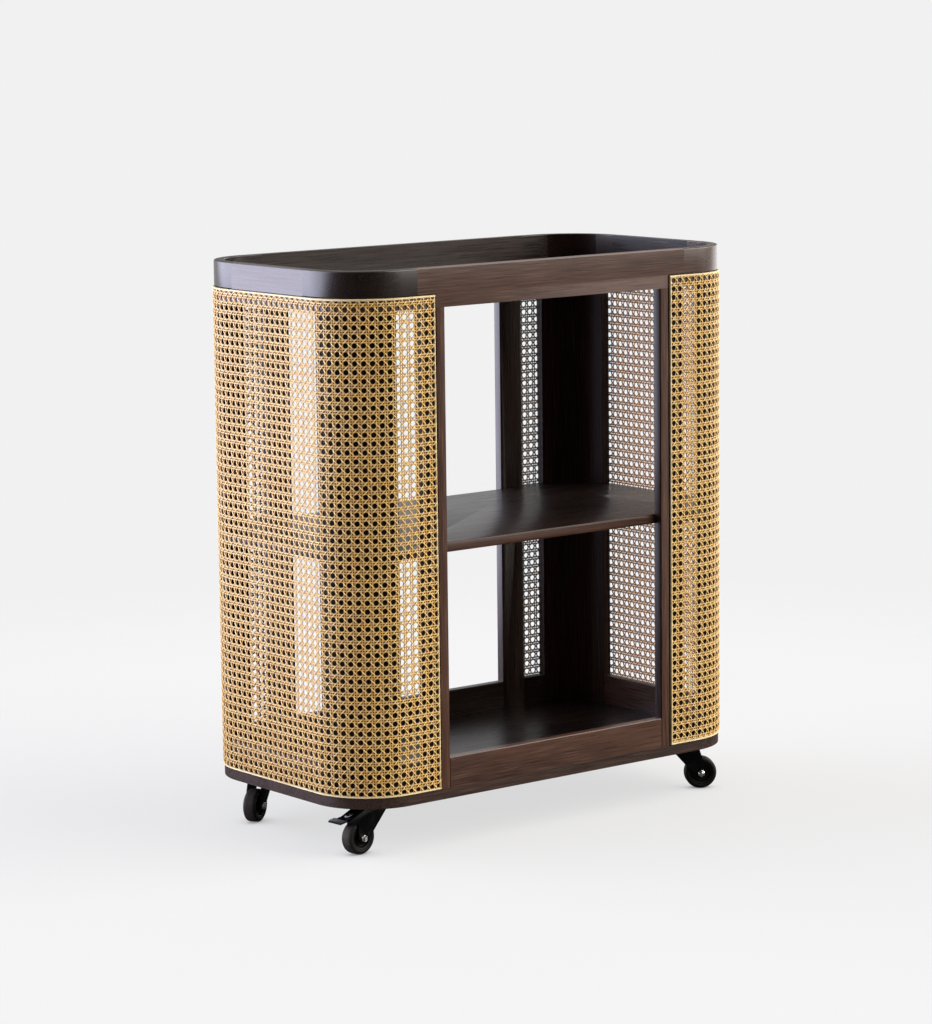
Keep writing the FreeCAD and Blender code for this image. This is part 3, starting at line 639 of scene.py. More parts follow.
@dataclass(frozen=True)
class Plan:
    """The cart's rounded outline in plan."""

    half_length: float = 375.0 * MM
    half_depth: float = 198.5 * MM
    corner: float = 95.0 * MM

    @property
    def flat_x(self) -> float:
        """Where the straight front ends and the corner starts."""
        return self.half_length - self.corner

    @property
    def flat_y(self) -> float:
        """Where the straight end stops and the corner starts."""
        return self.half_depth - self.corner

    def run(self, edge: float, seat: float) -> float:
        """Length round one end, between its front and back edges.

        Args:
            edge: distance of both edges from the middle, along X.
            seat: distance outside the wooden face.

        Returns:
            The length of the line at that distance.
        """
        return 2 * (self.flat_x - edge) + math.pi * (self.corner + seat) + 2 * self.flat_y

    def wrap(self, along: np.ndarray, lift: np.ndarray, edge: float,
             seat: float) -> tuple[np.ndarray, np.ndarray]:
        """Put flat points round the right end, from its front edge to its back edge.

        Args:
            along: distance from the front edge.
            lift: distance outside the line.
            edge: distance of both edges from the middle, along X.
            seat: the line's distance outside the wooden face.

        Returns:
            The points' X and Y.
        """
        radius = self.corner + seat
        side = self.flat_x - edge
        quarter = radius * math.pi / 2
        stops = np.cumsum([side, quarter, 2 * self.flat_y, quarter])
        out = radius + lift
        first = (along - stops[0]) / radius
        second = (along - stops[2]) / radius
        where = [along < stop for stop in stops]
        x = np.select(where, [edge + along, self.flat_x + out * np.sin(first),
                              self.flat_x + out, self.flat_x + out * np.cos(second)],
                      self.flat_x - (along - stops[3]))
        y = np.select(where, [-self.flat_y - out, -self.flat_y - out * np.cos(first),
                              along - stops[1] - self.flat_y, self.flat_y + out * np.sin(second)],
                      self.flat_y + out)
        return x, y


@dataclass
class CaneEnd:
    """Six-way cane weave round one end, strand by strand.

    Pairs of upright and level strands cross on a square lattice, and two sets of
    diagonals run through the middles between the crossings.
    """

    side: Side
    first_hole: float
    first_drop: float
    seed: int
    plan: Plan = Plan()
    pitch: float = 12.7 * MM
    pair: float = 1.78 * MM
    width: float = 1.84 * MM
    diagonal_width: float = 1.60 * MM
    thickness: float = 0.55 * MM
    crown: float = 0.40
    shoulder: float = 0.86
    shoulder_share: float = 1 / 8
    lift: float = 0.42 * MM
    diagonal_lift: float = 0.86 * MM
    # Painted shade and dirt in the weave's depth: strands darken towards its back.
    dirt: float = 0.95
    dirt_from: float = 0.25
    dirt_to: float = -0.9
    # Painted shade: the strands' backs near the flat sides, their other backs and their shoulders.
    stain: float = 0.93
    stained_depth: float = 8.0 * MM
    flanks: tuple[float, float] = (0.15, 0.30)
    plateau: float = 2.9 * MM
    edge: float = 225.0 * MM
    foot: float = 92.6 * MM
    head: float = 806.4 * MM
    seat: float = 1.25 * MM
    wander: float = 0.14 * MM
    wander_run: float = 61.0 * MM
    most_lanes: int = 1000
    first_lane: int = 8
    first_diagonal: int = 200
    # A tone per strand at random within its set's range; the diagonals' higher range is a painted highlight.
    tone_range: dict[Family, tuple[float, float]] = field(default_factory=lambda: {
        Family.UPRIGHT: (0.0, 0.6), Family.LEVEL: (0.0, 0.6),
        Family.RISING: (0.9, 1.3), Family.FALLING: (0.9, 1.4)})

    @property
    def tall(self) -> float:
        """Height of the woven sheet."""
        return self.head - self.foot

    @property
    def around(self) -> float:
        """Length of the woven sheet round the end."""
        return self.plan.run(self.edge, self.seat)

    def element(self, width: float, loops: Profile) -> Piece:
        """One repeat of a strand along X, domed on top, bent over and under.

        Args:
            width: width of the strand.
            loops: (place along X, lift) of each bend, from the start to the end.

        Returns:
            The open-ended repeat, with a mark for its back, its shoulders and its crown.
        """
        start, end = loops[0][0], loops[-1][0]
        top, shoulder = self.thickness / 2, self.thickness * self.shoulder_share
        bpy.ops.mesh.primitive_cube_add(size=1.0, location=((start + end) / 2, 0, 0),
                                        scale=(end - start, width, self.thickness))
        item = bpy.context.object
        settle(item)
        edit(item)
        for place, _ in loops[1:-1]:
            pick_all()
            bpy.ops.mesh.bisect(plane_co=(place, 0, 0), plane_no=(1, 0, 0))
        pick_all()
        bpy.ops.mesh.bisect(plane_co=(0, 0, shoulder), plane_no=(0, 0, 1))
        for stop in (start, end):
            select_points(item, lambda co, stop=stop: abs(co.x - stop) < SAME_PLACE)
            bpy.ops.mesh.delete(type="ONLY_FACE")
        for level, narrowing in ((top, self.crown), (shoulder, self.shoulder)):
            select_points(item, lambda co, level=level: abs(co.z - level) < SAME_PLACE)
            bpy.ops.transform.resize(value=(1, narrowing, 1), center_override=(0, 0, 0))
        for place, lift in loops:
            select_points(item, lambda co, place=place: abs(co.x - place) < SAME_PLACE)
            bpy.ops.transform.translate(value=(0, 0, lift))
        leave()
        inner = item.data.attributes.new("inner", "FLOAT", "POINT")
        for vertex, mark in zip(item.data.vertices, inner.data):
            height = vertex.co.z - min(loops, key=lambda bend: abs(bend[0] - vertex.co.x))[1]
            mark.value = PITH if height < 0 else FLANK if height < (shoulder + top) / 2 else SKIN
        return item

    def pairs(self, phase: int, count: int) -> Piece:
        """One pair of strands along X, crossing every pitch in opposite phase.

        Args:
            phase: 1 or -1, which strand goes over first.
            count: number of repeats.

        Returns:
            The pair, lying along X on both sides of its line.
        """
        strands = []
        for across, sign in ((self.pair, phase), (-self.pair, -phase)):
            lift = sign * self.lift
            strand = self.element(self.width, [(-self.pair, -lift), (self.pair, lift),
                                               (self.pitch - self.pair, -lift)])
            repeated(strand, (self.pitch, 0, 0), count)
            strand.data.transform(Matrix.Translation((0, across, 0)))
            strands.append(strand)
        return joined("pair", strands)

    def diagonal(self, sign: int, count: int) -> Piece:
        """One diagonal strand along X, over and under once in each repeat."""
        period = self.pitch * math.sqrt(2)
        lift = sign * self.diagonal_lift
        strand = self.element(self.diagonal_width, [
            (-self.plateau, lift), (self.plateau, lift),
            (period / 2 - self.plateau, -lift), (period / 2 + self.plateau, -lift),
            (period - self.plateau, lift)])
        repeated(strand, (period, 0, 0), count)
        return strand

    def lattice(self) -> tuple[float, float]:
        """First crossing at or before the sheet's low corner, round and up."""
        round_at = self.first_hole + self.pitch / 2
        if self.side is Side.LEFT:
            round_at = self.around - round_at
        up_at = self.tall - self.first_drop + self.pitch / 2
        return round_at % self.pitch - self.pitch, up_at % self.pitch - self.pitch

    def flat(self, family: Family) -> Piece:
        """Weave one set of strands flat, X round the end and Y up, past every edge."""
        start, up = self.lattice()
        columns = math.ceil(self.around / self.pitch) + 2
        rows = math.ceil(self.tall / self.pitch) + 2
        step, count = (self.pitch, 0, 0), columns + rows
        if family is Family.UPRIGHT:
            item, turn, count = self.pairs(-1, rows), math.pi / 2, columns
        elif family is Family.LEVEL:
            item, turn, count = self.pairs(1, columns), 0.0, rows
            step = (0, self.pitch, 0)
        elif family is Family.RISING:
            item, turn = self.diagonal(1, rows), math.pi / 4
            start += (0.5 - rows) * self.pitch
        else:
            item, turn = self.diagonal(-1, rows), 3 * math.pi / 4
            start += 0.5 * self.pitch
        item.data.transform(Matrix.Translation((start, up, 0)) @ Matrix.Rotation(turn, 4, "Z"))
        repeated(item, step, count)
        return item

    def trim(self, item: Piece) -> None:
        """Cut the flat strands at the sheet's four edges and close their ends."""
        edit(item)
        for place, normal in (((0, 0, 0), (-1, 0, 0)), ((self.around, 0, 0), (1, 0, 0)),
                              ((0, 0, 0), (0, -1, 0)), ((0, self.tall, 0), (0, 1, 0))):
            pick_all()
            bpy.ops.mesh.bisect(plane_co=place, plane_no=normal, use_fill=True, clear_outer=True)
        leave()

    def lanes(self, family: Family, co: np.ndarray) -> tuple[np.ndarray, np.ndarray, np.ndarray]:
        """Number the strands and measure along and across them.

        Args:
            family: which set of strands.
            co: the flat vertices.

        Returns:
            Strand number, place along it and place across it, per vertex.
        """
        across, up = self.lattice()
        u, v = co[:, 0] - across, co[:, 1] - up
        if family in (Family.UPRIGHT, Family.LEVEL):
            along, over = (v, u) if family is Family.UPRIGHT else (u, v)
            line = np.floor(over / self.pitch + 0.5)
            off = over - line * self.pitch
            lane = 2 * line + (off > 0)
            return lane, along, off - np.where(off > 0, self.pair, -self.pair)
        sign = -1 if family is Family.RISING else 1
        over = (u + sign * v) / self.pitch - 0.5
        lane = np.round(over)
        off = (over - lane) * self.pitch / math.sqrt(2)
        return lane + self.first_diagonal, (v - sign * u) / math.sqrt(2), off

    def sunk(self, height: np.ndarray) -> np.ndarray:
        """Share of painted shade and dirt in the weave's depth, from its outer face to its back."""
        low, high = self.dirt_to * self.diagonal_lift, self.dirt_from * self.diagonal_lift
        return self.dirt * (1 - np.clip((height - low) / (high - low), 0, 1))

    def weave(self, family: Family) -> Piece:
        """Weave one set of strands and wrap it round the end.

        Args:
            family: which set of strands.

        Returns:
            The set, with attributes for each vertex's tone, painted shade and dirt, pith side and run.
        """
        item = named(self.flat(family), f"cane_{self.side.word}_{family.value}")
        self.trim(item)
        mesh = item.data
        co = np.empty(len(mesh.vertices) * 3)
        mesh.vertices.foreach_get("co", co)
        co = co.reshape(-1, 3)
        lane, along, off = self.lanes(family, co)
        lane = lane.astype(int) + self.first_lane
        draw = np.random.default_rng(self.seed + list(Family).index(family))
        tones_and_highlights = draw.uniform(*self.tone_range[family], self.most_lanes)
        turns = draw.random(self.most_lanes) * math.tau
        sway = self.wander * np.sin(along / self.wander_run + turns[lane])
        if family is not Family.LEVEL:
            co[:, 0] += sway
        if family is not Family.UPRIGHT:
            co[:, 1] += sway
        x, y = self.plan.wrap(co[:, 0], co[:, 2], self.edge, self.seat)
        placed = np.stack([x, y, self.foot + co[:, 1]], axis=1)
        if self.side is Side.LEFT:
            placed[:, :2] *= -1
        mesh.vertices.foreach_set("co", placed.ravel())
        inner = np.empty(len(mesh.vertices))
        mesh.attributes["inner"].data.foreach_get("value", inner)
        # Painted shade on the backs and shoulders of strands, the backs darkest near the flat sides.
        back = inner > (PITH + FLANK) / 2
        middle = (inner > (FLANK + SKIN) / 2) & ~back
        flat_side = np.abs(y) > self.plan.half_depth - self.stained_depth
        shaded = np.select([back & flat_side, back, middle], [self.stain, *self.flanks], 0.0)
        mesh.attributes["inner"].data.foreach_set("value", back.astype(float))
        for name, values in (("tone", tones_and_highlights[lane]), ("sunk", np.maximum(self.sunk(co[:, 2]), shaded))):
            mesh.attributes.new(name, "FLOAT", "POINT").data.foreach_set("value", values)
        run = np.stack([along, lane * self.pitch, off], axis=1)
        mesh.attributes.new("cane_run", "FLOAT_VECTOR", "POINT").data.foreach_set("vector", run.ravel())
        mesh.update()
        smooth(item, STRAND_ANGLE)
        return item

    def build(self) -> None:
        """Weave and dress the four sets of strands of this end."""
        node = f"cane_{self.side.word}"
        for family in Family:
            nodes = (node,) if family is Family.UPRIGHT else ()
            dress(self.weave(family), Cane().make(), Slot.CANE, Body.CART.value, *nodes)


@dataclass
class ReedBeads:
    """Half-round reed beads that wedge one end's cane into its grooves."""

    side: Side
    plan: Plan = Plan()
    edge: float = 223.8 * MM
    half_width: float = 1.70 * MM
    post_half: float = 1.20 * MM
    proud: float = 2.5 * MM
    sunk: float = 1.6 * MM
    foot: float = 91.4 * MM
    head: float = 807.5 * MM
    upright_at: float = 225.2 * MM
    facets: int = 12
    corner_steps: int = 24

    def section(self, name: str, place: Point, across: Vector) -> Piece:
        """Add the bead's rounded section as a ring of points facing its run.

        Args:
            name: name of the bead.
            place: middle of the section on the wooden face.
            across: half the section's width; the front's outside is -Y.

        Returns:
            The ring, in edit mode with all of it selected.
        """
        bpy.ops.mesh.primitive_circle_add(vertices=self.facets, radius=MM)
        item = named(bpy.context.object, name)
        middle = (self.proud - self.sunk) / 2
        depth = (self.proud + self.sunk) / 2
        for vertex in item.data.vertices:
            angle = math.atan2(vertex.co.y, vertex.co.x)
            out = middle + depth * math.sin(angle)
            vertex.co = Vector(place) + across * math.cos(angle) + Vector((0, -out, 0))
        item.location = (0, 0, 0)
        edit(item)
        return item

    def close(self, item: Piece) -> Piece:
        """Cap a swept bead's two ends and turn its faces outwards."""
        pick_all()
        bpy.ops.mesh.fill_holes(sides=self.facets)
        face_outwards()
        leave()
        return item

    def slide(self, step: Point) -> None:
        """Draw the selected ring out in a straight line."""
        bpy.ops.mesh.extrude_region_move(TRANSFORM_OT_translate={"value": step})

    def bend(self, centre_y: float) -> None:
        """Draw the selected ring round a corner of the right end."""
        bpy.ops.mesh.spin(steps=self.corner_steps, angle=-math.pi / 2, axis=(0, 0, 1),
                          center=(self.plan.flat_x, centre_y, 0))

    def ring(self, level: float) -> Piece:
        """Sweep a bead round the right end at one level."""
        plan = self.plan
        straight = plan.flat_x - self.edge
        start = (self.edge, -plan.half_depth, level)
        item = self.section("bead_ring", start, Vector((0, 0, self.half_width)))
        self.slide((straight, 0, 0))
        self.bend(-plan.flat_y)
        self.slide((0, 2 * plan.flat_y, 0))
        self.bend(plan.flat_y)
        self.slide((-straight, 0, 0))
        return self.close(item)

    def post(self) -> Piece:
        """Draw the standing bead of the right end's front edge."""
        place = (self.upright_at, -self.plan.half_depth, self.foot)
        item = self.section("bead_post", place, Vector((self.post_half, 0, 0)))
        self.slide((0, 0, self.head - self.foot))
        return self.close(item)

    def build(self) -> None:
        """Make and dress the two rings and the two standing beads of this end."""
        front = self.post()
        back = copy_of(front, "bead_post_back", Matrix.Diagonal((1, -1, 1, 1)))
        edit(back)
        face_outwards()
        leave()
        bead = joined(f"reed_{self.side.word}", [self.ring(self.foot), self.ring(self.head), front, back])
        bead.data.transform(Matrix.Rotation(self.side.value, 4, "Z"))
        smooth(bead, STRAND_ANGLE)
        dress(bead, Reed().make(), Slot.REED, Body.CART.value, f"cane_spline_{self.side.word}")


@dataclass
class Carcass:
    """The wooden boards, with free edges eased, flush joints tight, the grain along each piece and light and
    shade painted in each tone.
    """

    plan: Plan = Plan()
    ease: float = 0.45 * MM
    rim_ease: float = 1.0 * MM
    rim_segments: int = 3
    rim_joint_x: float = 253.5 * MM
    rim_joint_y: float = 87.5 * MM
    rail_end: float = 205.0 * MM
    rail_top: float = 134.0 * MM
    flush_levels: tuple[float, ...] = (89.0 * MM, 790.5 * MM, 806.0 * MM)
    near: float = 0.3 * MM
    covered_from: float = 221.0 * MM
    groove_from: float = 222.0 * MM
    covered_depth: float = 3.8 * MM
    steep: float = 0.5
    level: float = 0.9
    bend_start: float = -0.3
    bend_end: float = -0.95

    def boards(self) -> dict[str, DarkWood]:
        """Finish of each wooden node; the tones paint light and shade, bright at the front, dark inside and
        behind.
        """
        finishes = {
            "base_board": DarkWood(Grain.LENGTH, 0.16, 0.05, 0.26),
            "tray_floor": DarkWood(Grain.LENGTH, 0.60, 0.0, 0.15),
            "middle_shelf": DarkWood(Grain.LENGTH, 0.24, 0.06, 0.27),
            "rim_front": DarkWood(Grain.LENGTH, 1.50),
            "rim_back": DarkWood(Grain.LENGTH, 0.40),
            "rim_left": DarkWood(Grain.DEPTH, 0.80),
            "rim_right": DarkWood(Grain.DEPTH, 0.18),
            "rim_corners": DarkWood(Grain.LENGTH, 0.30),
            "bottom_rail_front": DarkWood(Grain.LENGTH, 1.50, 0.06, 0.30),
            "bottom_rail_back": DarkWood(Grain.LENGTH, 0.40, 0.04, 0.20),
            "bottom_rail_left": DarkWood(Grain.DEPTH, 0.40, 0.04, 0.20),
            "bottom_rail_right": DarkWood(Grain.DEPTH, 0.80, 0.04, 0.20),
            "filling_rails": DarkWood(Grain.LENGTH, 0.30, 0.0, 0.12),
        }
        for corner in CORNERS:
            finishes[f"stile_{corner}"] = (DarkWood(Grain.UPRIGHT, 1.60, 0.02, 0.20) if "front" in corner
                                           else DarkWood(Grain.UPRIGHT, 0.50, 0.06, 0.30))
            finishes[f"corner_panel_{corner}"] = DarkWood(Grain.UPRIGHT, 0.45, 0.0, 0.05)
        return finishes

    def accents(self, node: str, finish: DarkWood) -> list[tuple[DarkWood, FaceTest]]:
        """Finishes of a board's faces that differ from the rest of it, most of them painting light or shade
        there.

        Args:
            node: name of the board's node.
            finish: the board's main finish.

        Returns:
            Each finish with the test for its faces, a later one over an earlier one.
        """
        grain, found = finish.grain, []
        if node.startswith(("stile", "corner_panel")):
            # The groove wall's near-black finish is painted shade for the dark gap beside the standing bead.
            found += [(DarkWood(grain, 0.25, 0.0, 0.10), self.covered),
                      (DarkWood(grain, 0.05, 0.0, 0.03), self.in_groove)]
        if node.startswith("stile_front"):
            # The front stiles' side faces are darker than their fronts: painted shade.
            found.append((DarkWood(grain, 0.60, 0.0, 0.13), lambda face: abs(face.normal.x) > self.steep))
        if node == "base_board":
            # The base's edge is far lighter than its top: painted light on the edge, painted shade on the
            # top.
            found.append((DarkWood(grain, 0.80, 0.16, 0.48), self.upright))
        if node == "tray_floor":
            # The tray's edges take the bright front tone: painted light.
            found.append((DarkWood(grain, 1.50), self.upright))
        if node == "middle_shelf":
            # The shelf's edges are far lighter than its top: painted light on the edges, painted shade on the
            # top.
            found.append((DarkWood(grain, 1.10, 0.02, 0.20), lambda face: abs(face.normal.y) > self.steep))
        if node.startswith("rim"):
            found.append((DarkWood(grain, finish.tone, 0.0, 0.03), self.on_top))
        if node == "rim_corners":
            # The far right corner's inside is darker, painted shade; the near right corner is brighter,
            # painted light.
            found += [(DarkWood(grain, 0.20, 0.0, 0.12), self.in_far_corner),
                      (DarkWood(grain, 1.20), self.on_near_corner)]
        return found

    def at(self, value: float, mark: float) -> bool:
        """Tell whether a measure lies at a mark."""
        return abs(value - mark) < self.near

    def at_joint(self, first: Vector, second: Vector) -> bool:
        """Tell whether an edge lies in a tight joint: a flush level, a rim's butt joint or a rail's end.

        Args:
            first: one end of the edge.
            second: its other end.

        Returns:
            True where the boards meet without a visible easing.
        """
        ends, plan = (first, second), self.plan
        level = any(all(self.at(end.z, height) for end in ends) for height in self.flush_levels)
        rim_side = all(self.at(abs(end.x), self.rim_joint_x) and abs(end.y) > plan.flat_y for end in ends)
        rim_end = all(self.at(abs(end.y), self.rim_joint_y) and abs(end.x) > plan.flat_x for end in ends)
        rail = all(self.at(abs(end.x), self.rail_end) and end.z < self.rail_top + self.near for end in ends)
        return level or rim_side or rim_end or rail

    def covered(self, face: Face) -> bool:
        """Tell whether the cane covers a face."""
        past_x = max(abs(face.center.x) - self.plan.flat_x, 0.0)
        past_y = max(abs(face.center.y) - self.plan.flat_y, 0.0)
        outside = math.hypot(past_x, past_y) - self.plan.corner
        return outside > -self.covered_depth and abs(face.center.x) > self.covered_from

    def in_groove(self, face: Face) -> bool:
        """Tell whether a face is the bare inner wall of a standing bead's groove."""
        return self.covered(face) and abs(face.center.x) < self.groove_from

    def upright(self, face: Face) -> bool:
        """Tell whether a face stands upright, as a board's edge does."""
        return abs(face.normal.z) < self.steep

    def on_top(self, face: Face) -> bool:
        """Tell whether a face lies level on top."""
        return face.normal.z > self.level

    def in_far_corner(self, face: Face) -> bool:
        """Tell whether a face lines the middle of the tray's far right corner."""
        bent = self.bend_end < face.normal.x < self.bend_start and face.normal.y < 0
        return bent and min(face.center.xy) > 0

    def on_near_corner(self, face: Face) -> bool:
        """Tell whether a face belongs to the front right rim corner, below its level top."""
        return face.center.x > 0 > face.center.y and not self.on_top(face)

    def refinish(self, board: Piece, finish: DarkWood, wanted: FaceTest) -> None:
        """Give some of a board's faces another finish.

        Args:
            board: the board.
            finish: the other finish.
            wanted: test on a face.
        """
        board.data.materials.append(finish.make())
        for face in board.data.polygons:
            if wanted(face):
                face.material_index = len(board.data.materials) - 1

    def build(self) -> None:
        """Ease and dress every board."""
        for node, finish in self.boards().items():
            rounding = (self.rim_ease, self.rim_segments) if node.startswith("rim") else (self.ease, 2)
            board = eased_copy(node, f"{node}_eased", *rounding, self.at_joint)
            dress(board, finish.make(), Slot.WOOD, Body.CART.value, node)
            for accent, wanted in self.accents(node, finish):
                self.refinish(board, accent, wanted)


@dataclass(frozen=True)
class Stance:
    """Where one caster stands and which way it trails."""

    corner: str
    x: float
    y: float
    turn: float
    braked: bool = False

    @property
    def place(self) -> Matrix:
        """Matrix from a caster drawn trailing along +X to its place."""
        return Matrix.Translation((self.x, self.y, 0)) @ Matrix.Rotation(math.radians(self.turn), 4, "Z")

    def body(self, kind: Body) -> str:
        """Name of this caster's body of a kind."""
        return f"{kind.value}_{self.corner}"


@dataclass
class Casters:
    """Four swivel casters: pressed forks, rubber wheels, zinc bolts, two brakes.

    Each table of steps runs along a section. The lip's are (distance out from its radius,
    depth below the wheel's face), the hub's (radius, that depth), the collar's (radius, depth
    below the nut's top), and the screw's are shares of its radius and of its rise.
    """

    stances: tuple[Stance, ...] = (
        Stance("front_left", -305 * MM, -137 * MM, -175, True),
        Stance("front_right", 305 * MM, -137 * MM, -33),
        Stance("back_left", -305 * MM, 137 * MM, -150),
        Stance("back_right", 305 * MM, 137 * MM, 5, True),
    )
    trail: float = 26.0 * MM
    axle_height: float = 25.0 * MM
    wheel_radius: float = 25.0 * MM
    wheel_facets: int = 48
    half_width: float = 10.0 * MM
    shoulder: float = 4.5 * MM
    shoulder_arc: tuple[float, ...] = (0.0, 0.4, 0.8, 1.2, math.pi / 2)
    tread_from: float = 2.5 * MM
    tread_fade: float = 2.2 * MM
    lip_radius: float = 17.6 * MM
    lip_steps: Steps = (mm(0.0, 2.2), mm(0.7, 0.3), mm(1.6, 0.0))
    bore: float = 3.05 * MM
    hub_steps: Steps = (mm(6.4, 0.4), mm(7.0, 1.0), mm(7.4, 4.6), mm(14.4, 5.0), mm(15.2, 1.5), mm(15.8, 1.1))
    fork_half: float = 12.8 * MM
    fork_ease: float = 0.5 * MM
    nut_across: float = 11.3 * MM
    nut_thick: float = 2.7 * MM
    nut_chamfer: float = 0.7 * MM
    nut_ease: float = 0.12 * MM
    nut_angle: float = 40.0
    dome_top: float = 4.5 * MM
    overlap: float = 0.3 * MM
    collar_inner: float = 3.3 * MM
    collar_outer: float = 4.7 * MM
    collar_steps: Steps = (mm(4.6, 1.2), mm(4.2, 0.8), mm(3.6, 0.8), mm(3.3, 1.2))
    collar_facets: int = 28
    insert_outer: float = 3.35 * MM
    insert_drop: float = 1.3 * MM
    insert_lip: tuple[float, ...] = mm(2.9, 0.2)
    bolt_radius: float = 2.5 * MM
    bolt_chamfer: float = 0.5 * MM
    bolt_facets: int = 24
    shank_radius: float = 2.9 * MM
    shank_past: float = 0.5 * MM
    plate_bottom: float = 71.0 * MM
    plate_ease: float = 0.4 * MM
    screw_x: float = 24.0 * MM
    screw_y: float = 18.0 * MM
    screw_radius: float = 3.4 * MM
    screw_rise: float = 1.9 * MM
    screw_rim: float = 0.5 * MM
    screw_steps: Steps = ((0.86, 0.80), (0.55, 1.0), (0.30, 1.0), (0.22, 0.45))
    screw_socket: float = 0.35
    screw_facets: int = 20
    pedal_ease: float = 0.35 * MM
    pedal_fall: float = 1 / 6
    tab_length: float = 11.0 * MM
    tab_width: float = 8.5 * MM
    tab_thick: float = 1.6 * MM
    tab_taper: float = 0.82
    tab_ease: float = 0.4 * MM
    tab_segments: int = 3
    tab_place: Point = (43.0 * MM, 0.0, 59.8 * MM)

    def at_axle(self) -> Matrix:
        """Matrix from the origin to the axle of a caster drawn trailing along +X."""
        return Matrix.Translation((self.trail, 0, self.axle_height))

    def both_faces(self, name: str, face: Profile) -> Piece:
        """Turn a part of the wheel from the profile of one side and its mirror image."""
        return turned(name, face + [(radius, -along) for radius, along in reversed(face)], self.wheel_facets)

    def tyre(self) -> Piece:
        """Turn the rubber tyre with rounded shoulders and a lip round the hub."""
        half = self.half_width
        face = [(self.lip_radius + out, half - depth) for out, depth in self.lip_steps]
        face += [(self.wheel_radius - self.shoulder * (1 - math.sin(step)),
                  half - self.shoulder * (1 - math.cos(step))) for step in self.shoulder_arc]
        item = self.both_faces("tyre_pattern", face)
        tread = item.data.attributes.new("tread", "FLOAT", "POINT")
        for vertex, mark in zip(item.data.vertices, tread.data):
            radius = math.hypot(vertex.co.x, vertex.co.z)
            mark.value = max(0.0, min(1.0, (radius - self.wheel_radius + self.tread_from) / self.tread_fade))
        item.data.transform(self.at_axle())
        return item

    def hub(self) -> Piece:
        """Turn the nylon hub: a recessed web between its boss and its felloe."""
        (_, boss_depth), (_, felloe_depth) = self.hub_steps[0], self.hub_steps[-1]
        steps = ((self.bore, boss_depth), *self.hub_steps, (self.lip_radius, felloe_depth))
        item = self.both_faces("hub_pattern", [(radius, self.half_width - depth) for radius, depth in steps])
        item.data.transform(self.at_axle())
        return item

    def nut(self) -> Piece:
        """Model one lock nut, standing outwards along +Y: a hexagon, its rolled collar and the bolt's end."""
        bpy.ops.mesh.primitive_cylinder_add(vertices=6, radius=self.nut_across / 2, depth=self.nut_thick,
                                            location=(0, 0, self.nut_thick / 2))
        hexagon = bpy.context.object
        settle(hexagon)
        edit(hexagon)
        select_points(hexagon, lambda co: co.z > self.nut_thick / 2)
        bpy.ops.mesh.bevel(offset=self.nut_chamfer, segments=2, affect="EDGES")
        leave()
        rounded(hexagon, self.nut_ease, 1, self.nut_angle)
        hexagon.data.transform(Matrix.Rotation(-math.pi / 2, 4, "X"))
        low, top = self.nut_thick - self.overlap, self.dome_top
        collar = turned("collar", [
            (self.collar_inner, low), (self.collar_outer, low),
            *((radius, top - depth) for radius, depth in self.collar_steps)], self.collar_facets)
        tip = turned("tip", [
            (AXIS, low), (self.bolt_radius, low), (self.bolt_radius, top - self.bolt_chamfer),
            (self.bolt_radius - self.bolt_chamfer, top), (AXIS, top)], self.bolt_facets)
        return joined("nut_pattern", [hexagon, collar, tip])

    def insert(self) -> Piece:
        """Turn the dark nylon ring between a lock nut's collar and the bolt, one for each side."""
        low = self.fork_half + self.nut_thick - self.overlap
        top = self.fork_half + self.dome_top - self.insert_drop
        lip_radius, lip_rise = self.insert_lip
        near = turned("insert", [
            (self.bolt_radius, low), (self.insert_outer, low), (self.insert_outer, top),
            (lip_radius, top + lip_rise), (self.bolt_radius, top)], self.bolt_facets)
        far = copy_of(near, "insert_far", Matrix.Rotation(math.pi, 4, "Z"))
        item = joined("insert_pattern", [near, far])
        item.data.transform(self.at_axle())
        return item

    def tab(self) -> Piece:
        """Model the release tongue that lies on a pedal's slope."""
        bpy.ops.mesh.primitive_cube_add(size=1.0, scale=(self.tab_length, self.tab_width, self.tab_thick))
        item = named(bpy.context.object, "tab_pattern")
        settle(item)
        edit(item)
        select_points(item, lambda co: co.x > 0)
        bpy.ops.transform.resize(value=(1, self.tab_taper, 1), center_override=(0, 0, 0))
        leave()
        rounded(item, self.tab_ease, self.tab_segments)
        slope = Matrix.Rotation(math.atan(self.pedal_fall), 4, "Y")
        item.data.transform(Matrix.Translation(self.tab_place) @ slope)
        return item

    def axle(self) -> Piece:
        """Put a lock nut on both ends of the axle bolt."""
        nut = self.nut()
        out = Matrix.Translation((0, self.fork_half, 0))
        near = copy_of(nut, "nut_near", out)
        far = copy_of(nut, "nut_far", Matrix.Rotation(math.pi, 4, "Z") @ out)
        discard(nut)
        half = self.fork_half + self.shank_past
        shank = turned("shank", [(AXIS, -half), (self.shank_radius, -half), (self.shank_radius, half),
                                 (AXIS, half)], self.bolt_facets)
        item = joined("axle_pattern", [near, far, shank])
        item.data.transform(self.at_axle())
        return item

    def screws(self) -> Piece:
        """Model one pan-head screw under a plate and copy it to every hole."""
        top, radius = self.screw_rise, self.screw_radius
        screw = turned("screw_pattern", [
            (AXIS, 0.0), (radius, 0.0), (radius, self.screw_rim),
            *((radius * share, top * height) for share, height in self.screw_steps),
            (AXIS, self.screw_socket * top)], self.screw_facets)
        screw.data.transform(Matrix.Rotation(-math.pi / 2, 4, "X"))
        copies = []
        for stance, side_x, side_y in itertools.product(self.stances, (-1, 1), (-1, 1)):
            spot = (stance.x + side_x * self.screw_x, stance.y + side_y * self.screw_y, self.plate_bottom)
            copies.append(copy_of(screw, "screw", Matrix.Translation(spot)))
        discard(screw)
        return joined("plate_screws", copies)

